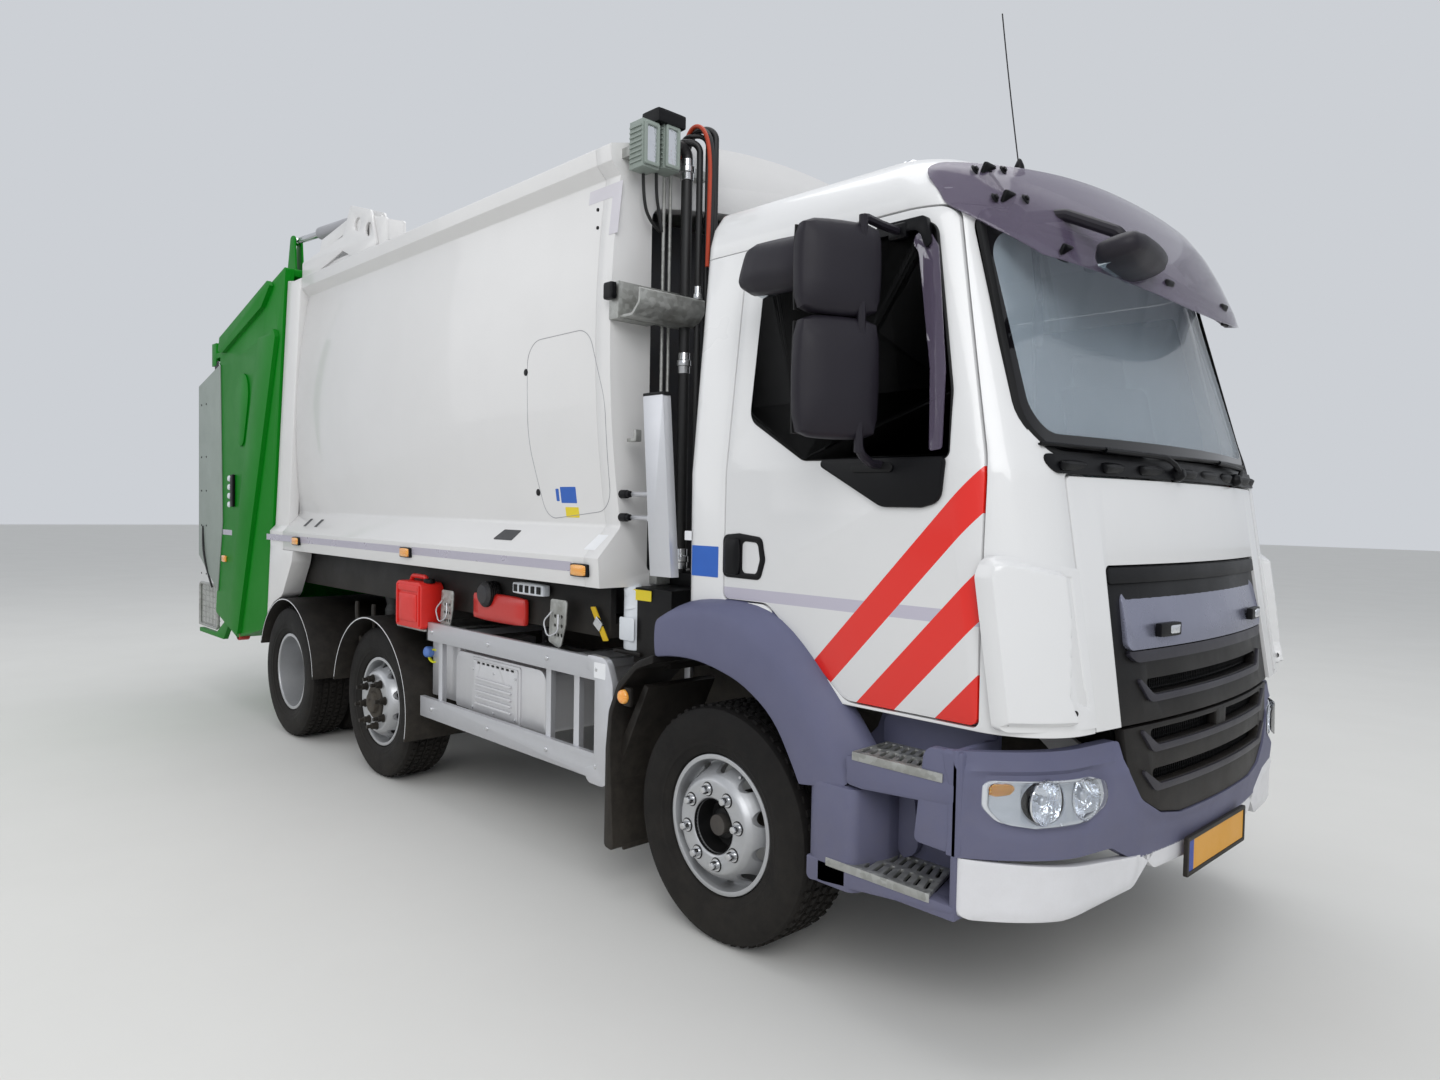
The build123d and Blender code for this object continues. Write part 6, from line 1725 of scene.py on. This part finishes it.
def dress_underbody():
    """Caps and handle of the canisters, strap, louvred exhaust cover, mudguard piping and hose tails."""
    pieces = [housing("can_panel", (-2405, -1162, 1050), (210, 12, 150), jerrycan_plastic, radius=6,
                      crown=2),
              housing("can_panel_top", (-2405, -1162, 1156), (230, 10, 34), jerrycan_plastic, radius=5),
              tube("can_handle", [(-2500, -1095, 1185), (-2480, -1095, 1216), (-2330, -1095, 1216),
                                  (-2310, -1095, 1185)], 13, jerrycan_plastic, corner=24)]
    for x in (-2545, -2265):
        pieces.append(housing("can_rib", (x + (12 if x < -2400 else -12), -1163, 1064), (16, 10, 220),
                              jerrycan_plastic, radius=4))
    pieces.append(lathe("can_cap", soft_profile([(-4, 30), (16, 30), (20, 24), (20, 0)], 3),
                        (-2290, -1095, 1190), (0, 0, 1), seal_rubber, 24))
    settle_all("can_details", pieces, "chassis", "red_plastic")
    strap = [plate("yellow_strap", [(-880, 1178, 3), (-846, 1182, 3), (-748, 1042, 3), (-784, 1038, 3)],
                   "y", -1046, -1040, yellow_strap, edge=1),
             housing("strap_buckle", (-815, -1048, 1110), (56, 12, 44), bare_bright, (0, 34, 0), 4)]
    settle_all("load_strap", strap, "chassis", "chassis_paint")
    cover = [plate("cover_rim", box(-1880, -1410, 552, 838, 14), "y", -1066, -1059, brushed_aluminium,
                   edge=2),
             plate("cover_face", box(-1862, -1428, 566, 824, 10), "y", -1071, -1065, brushed_aluminium,
                   edge=2, holes=[box(-1812 + 46 * k, -1782 + 46 * k, 808, 820, 4) for k in range(8)])]
    for k in range(5):
        z = 727 - 32 * k
        cover.append(plate("louvre", [(-1823, z, 6), (-1477, z, 6), (-1483, z + 14, 6),
                                      (-1817, z + 14, 6)], "y", -1082, -1069, brushed_aluminium, edge=4))
    cover.append(plate("cover_shadow", box(-1850, -1440, 800, 822), "y", -1066.5, -1066, seal_rubber))
    places = [(x, -1071, z, (0, -1, 0))
              for x, z in ((-1848, 780), (-1442, 780), (-1848, 580), (-1442, 580), (-1645, 580),
                           (-1645, 780))]
    cover.append(repeated("cover_bolts", hex_bolt, places, bare_bright, 0.9))
    settle_all("exhaust_cover", cover, "chassis", "aluminium")
    for sign, word in SIDES:
        piping = []
        for x, start, end, y in ((MIDDLE_AXLE, -14, 170, 1180), (REAR_AXLE, 4, 161, 1184)):
            angles = [math.radians(start + (end - start) * k / 24) for k in range(25)]
            arc = [(x + GUARD_PIPING_RADIUS * math.cos(a), sign * (y - 6),
                    AXLE_HEIGHT + GUARD_PIPING_RADIUS * math.sin(a)) for a in angles]
            piping.append(tube("guard_piping", arc, 5, sticker_white, sides=8))
        settle_all("mudguard_piping_" + word, piping, "chassis", "black_plastic")
        guard = [housing("guard_end_cap", (-2256, sign * 1109, 931), (14, 28, 100), seal_rubber, radius=3),
                 plate("guard_notice", box(-735, -655, 896, 962, 3), "y", sign * 1126, sign * 1127,
                       sticker_white)]
        for x in (-2200, -1620, -1100, -720):
            for z in (931, 516):
                guard.append(lathe("guard_bolt", soft_profile([(0, 12), (4, 11), (7, 6), (7, 0)], 2),
                                   (x, sign * 1122, z), (0, sign, 0), bare_bright, 16))
        settle_all("guard_fittings_" + word, guard, "chassis", "aluminium")
    tails = [lathe("blue_cap", soft_profile([(-30, 24), (10, 30), (34, 30), (42, 20), (42, 0)], 4),
                   (-2385, -1030, 794), (0.1, -1, 0.1), blue_plastic, 24),
             lathe("yellow_ring", soft_profile([(-8, 40), (8, 40), (8, 30), (-8, 30), (-8, 40)], 3),
                   (-2352, -1030, 776), (0.5, -1, 0), yellow_plastic, 28),
             tube("coupling_hose", [(-2385, -1000, 790), (-2410, -940, 740), (-2430, -860, 700),
                                    (-2440, -780, 720)], 14, hose_rubber, sides=12)]
    settle_all("filler_caps", tails, "chassis", "black_plastic")
    neck = [(0, 56), (14, 50), (34, 34), (46, 31), (50, 31), (50, 40), (84, 39), (90, 32), (90, 0)]
    bottle = [lathe("bottle_neck", soft_profile(neck, 4), (-661, -960, 1196), (-0.12, -0.2, 1),
                    bottle_plastic, 28),
              plate("bottle_blank", box(-712, -612, 1052, 1150, 10), "y", -1014, -1010, bottle_plastic,
                    edge=1.5)]
    settle_all("bottle_details", bottle, "chassis", "red_plastic")
    behind = [housing("battery_case", (-520, -880, 1120), (250, 230, 330), black_plastic, radius=14),
              plate("battery_notice", box(-640, -520, 1228, 1272, 4), "y", -998, -996, sticker_yellow),
              housing("tool_case", (-1628, -1050, 1104), (480, 40, 134), red_enamel, radius=16, crown=4),
              housing("grille_box", (-1347, -1052, 1222), (264, 44, 54), bottle_plastic, radius=8,
                      crown=2),
              lathe("valve_drum", soft_profile([(-40, 44), (-40, 62), (16, 62), (28, 50), (34, 46),
                                                (34, 0)], 6), (-1718, -1070, 1171), (0, -1, 0), cast_iron,
                    36)]
    for k in range(5):
        behind.append(housing("grille_slot", (-1447 + 50 * k, -1076, 1222), (30, 6, 34), seal_rubber,
                              radius=2))
        behind.append(lathe("drum_rib", soft_profile([(-3, 60), (-3, 66), (3, 66), (3, 60), (-3, 60)], 2),
                            (-1718, -1040 - 11 * k, 1171), (0, -1, 0), seal_rubber, 36))
    for x, low in ((-2130, 934), (-1092, 970)):
        bracket = [(x - 55, low + 30, 14), (x + 40, low, 30), (x + 80, low + 120, 30),
                   (x + 90, low + 226, 14), (x - 40, low + 226, 14)]
        eyes = [ring(x - 4 + 26 * i, low + 66 + 42 * j, 9, 8) for i in range(3) for j in range(3)]
        behind.append(plate("slotted_bracket", bracket, "y", -1084, -1078, zinc, holes=eyes, edge=1))
        loop = [(x - 20, -1090, low + 170), (x - 70, -1104, low + 120), (x - 30, -1106, low + 52),
                (x + 44, -1100, low + 84), (x + 30, -1090, low + 160)]
        behind.append(tube("cable_loop", loop, 3.5, drawn_aluminium, sides=8, corner=30))
    for x in (-2820, -3060):
        bag = soft_profile([(-150, 60), (-130, 92), (-80, 96), (-50, 84), (0, 96), (60, 92), (90, 60),
                            (110, 58), (110, 0)], 8)
        behind.append(lathe("air_bag", bag, (x - 290, -760, 1010), (0, 0, 1), hose_rubber, 32))
        behind.append(tube("link_rod", [(x - 250, -1060, 1000), (x - 236, -1080, 900),
                                        (x - 150, -1060, 700)], 13, chassis_paint, sides=10))
    for k, (x, z) in enumerate(((-1560, 1150), (-1530, 1120), (-1500, 1090))):
        behind.append(tube("brake_line", [(x, -620, z), (x + 60, -700, z + 10), (x + 190, -720, z - 20),
                                          (x + 260, -560, z - 60)], 8, hose_rubber, sides=8))
    settle_all("underbody_gear", behind, "chassis", "chassis_paint")


def dress_tail():
    """Tailgate: swage, buttons, screens' fixings, lamps, footboard mesh and the boxes on top."""
    for sign, word in SIDES:
        swell = [(-5124, 2672, 120), (-5387, 2429, 160), (-5340, 2049, 160), (-5180, 2010, 80),
                 (-5050, 2400, 300)]
        pieces = [plate("swage_oval", swell, "y", sign * 1149, sign * 1160, green_enamel, edge=9, steps=8)]
        for z in (1783, 1716, 1648, 1580):
            pieces.append(lathe("call_button", soft_profile([(0, 24), (10, 22), (14, 16), (14, 0)], 3),
                                (-5523, sign * 1149, z), (0, sign, 0), bottle_plastic, 24))
        pieces.append(housing("button_box", (-5418, sign * 1160, 1688), (60, 24, 250), black_plastic,
                              radius=8))
        places = []
        for x in (-6230, -6100):
            for z in (1000, 1400, 1688, 1967, 2400):
                places.append((x, sign * 1158, z, (0, sign, 0)))
        pieces.append(repeated("screen_screws", dome_screw, places, black_plastic, 1.4))
        pieces.append(tube("tail_cable", [(-6185, sign * 1160, 1395), (-6170, sign * 1168, 1250),
                                          (-6110, sign * 1166, 1100), (-6040, sign * 1160, 1000),
                                          (-5974, sign * 1150, 898)], 8, hose_rubber, sides=8))
        pieces.append(plate("tail_band", box(-5690, -5460, BAND_LOW, BAND_HIGH, 2), "y", sign * 1150,
                            sign * 1151.2, reflex_tape))
        pieces.append(housing("tail_marker", (-5640, sign * 1156, 1150), (90, 18, 50), amber_lens,
                              radius=6, crown=2))
        settle_all("tailgate_fittings_" + word, pieces, "tailgate", "green_paint")
        lamp = [housing("rear_lamp_case", (-5950, sign * 1088, 2812), (60, 100, 130), screen_coat,
                        radius=8, crown=2),
                housing("work_lamp_case", (-5905, sign * 1100, 2700), (110, 76, 76), black_plastic,
                        (0, 0, 0), 12),
                housing("work_lamp_face", (-5846, sign * 1104, 2700), (10, 60, 60), chrome_bowl, radius=4)]
        settle_all("rear_lamps_" + word, lamp, "tailgate", "lamp_plastic")
        strut = [tube("red_strut", [(-4853, sign * 1110, 876), (-5080, sign * 1112, 728),
                                    (-5312, sign * 1112, 576)], 24, red_enamel, sides=14),
                 lathe("strut_end", soft_profile([(-40, 34), (-36, 40), (36, 40), (40, 34)], 4),
                       (-5312, sign * 1112, 576), (0, 1, 0), red_enamel, 20)]
        settle_all("safety_strut_" + word, strut, "tailgate", "green_paint")
    boxes = [housing("signal_box", (-5262, -760, 3020), (360, 300, 110), chassis_paint, (0, 12, 0), 12),
             housing("camera_case", (-5700, -420, 3010), (120, 130, 110), screen_coat, (0, 20, 0), 16,
                     crown=3)]
    settle_all("tailgate_top_boxes", boxes, "tailgate", "green_paint")
    for sign, word in SIDES:
        bars = []
        for k in range(13):
            x = -6380 + 39 * k
            bars.append(tube("board_bar", [(x, sign * 1112, 560), (x, sign * 1112, 912)], 4, zinc,
                             sides=6))
        for k in range(8):
            z = 575 + 46 * k
            bars.append(tube("board_cross", [(-6386, sign * 1110, z), (-5904, sign * 1110, z)], 4, zinc,
                             sides=6))
        frame_points = [(-6388, sign * 1125, 560), (-6388, sign * 1125, 912), (-5902, sign * 1125, 912),
                        (-5902, sign * 1125, 560)]
        bars.append(tube("board_rim", frame_points + [frame_points[0]], 12, zinc, corner=40, sides=10))
        settle_all("footboard_mesh_" + word, bars, "footboard_" + word, "galvanised_steel",
                   "footboard_" + word)


dress_body_sides()
dress_gap()
dress_underbody()
dress_tail()


# Floor, light and camera


def studio():
    """Pale paper floor, soft light from three sides, and the photograph's camera."""
    finish = coat("seamless_paper_floor", "#D9D8D4", "#D2D1CD", 0.8, grain=4, relief=0.02, patch=900)
    work = bmesh.new()
    bmesh.ops.create_grid(work, x_segments=2, y_segments=2, size=60)
    as_object(work, "studio_floor", finish)
    world = bpy.data.worlds.new("soft_studio")
    bpy.context.scene.world = world
    world.use_nodes = True
    world.node_tree.nodes["Background"].inputs[0].default_value = srgb("#E8ECF2")
    world.node_tree.nodes["Background"].inputs[1].default_value = 0.75
    for name, place, aim, size, power in (("key_light", (10, -8, 8), (0, 0, 1.2), 7, 600),
                                          ("fill_light", (-7, -10, 6), (-1, 0, 1.2), 8, 190),
                                          ("top_light", (1, 1, 11), (0, 0, 0), 9, 420)):
        light = bpy.data.lights.new(name, "AREA")
        light.size = size
        light.energy = power
        obj = link(bpy.data.objects.new(name, light))
        aim_at = Vector(aim) - Vector(place)
        turn = aim_at.to_track_quat("-Z", "Y").to_matrix().to_4x4()
        obj.matrix_world = Matrix.Translation(Vector(place)) @ turn
    scene = bpy.context.scene
    scene.view_settings.view_transform = "Standard"
    # The photograph's camera: turns in radians, focal length in pixels of a picture 1440 pixels wide
    yaw, tilt, roll = 0.8088, -0.0337, 0.0182
    focal, picture_width = 951.2, 1440
    forward = Vector((-math.sin(yaw) * math.cos(tilt), math.cos(yaw) * math.cos(tilt), math.sin(tilt)))
    flat_right = Vector((math.cos(yaw), math.sin(yaw), 0))
    flat_up = flat_right.cross(forward)
    right = flat_right * math.cos(roll) + flat_up * math.sin(roll)
    up = flat_up * math.cos(roll) - flat_right * math.sin(roll)
    camera = bpy.data.cameras.new("camera")
    camera.sensor_fit = "HORIZONTAL"
    camera.sensor_width = 36
    camera.lens = focal / picture_width * camera.sensor_width
    camera.clip_end = 300
    obj = link(bpy.data.objects.new("camera", camera))
    turn = Matrix((right, up, -forward)).transposed().to_4x4()
    obj.matrix_world = Matrix.Translation(Vector((5.0333, -3.513, 1.6227))) @ turn
    scene.camera = obj


studio()
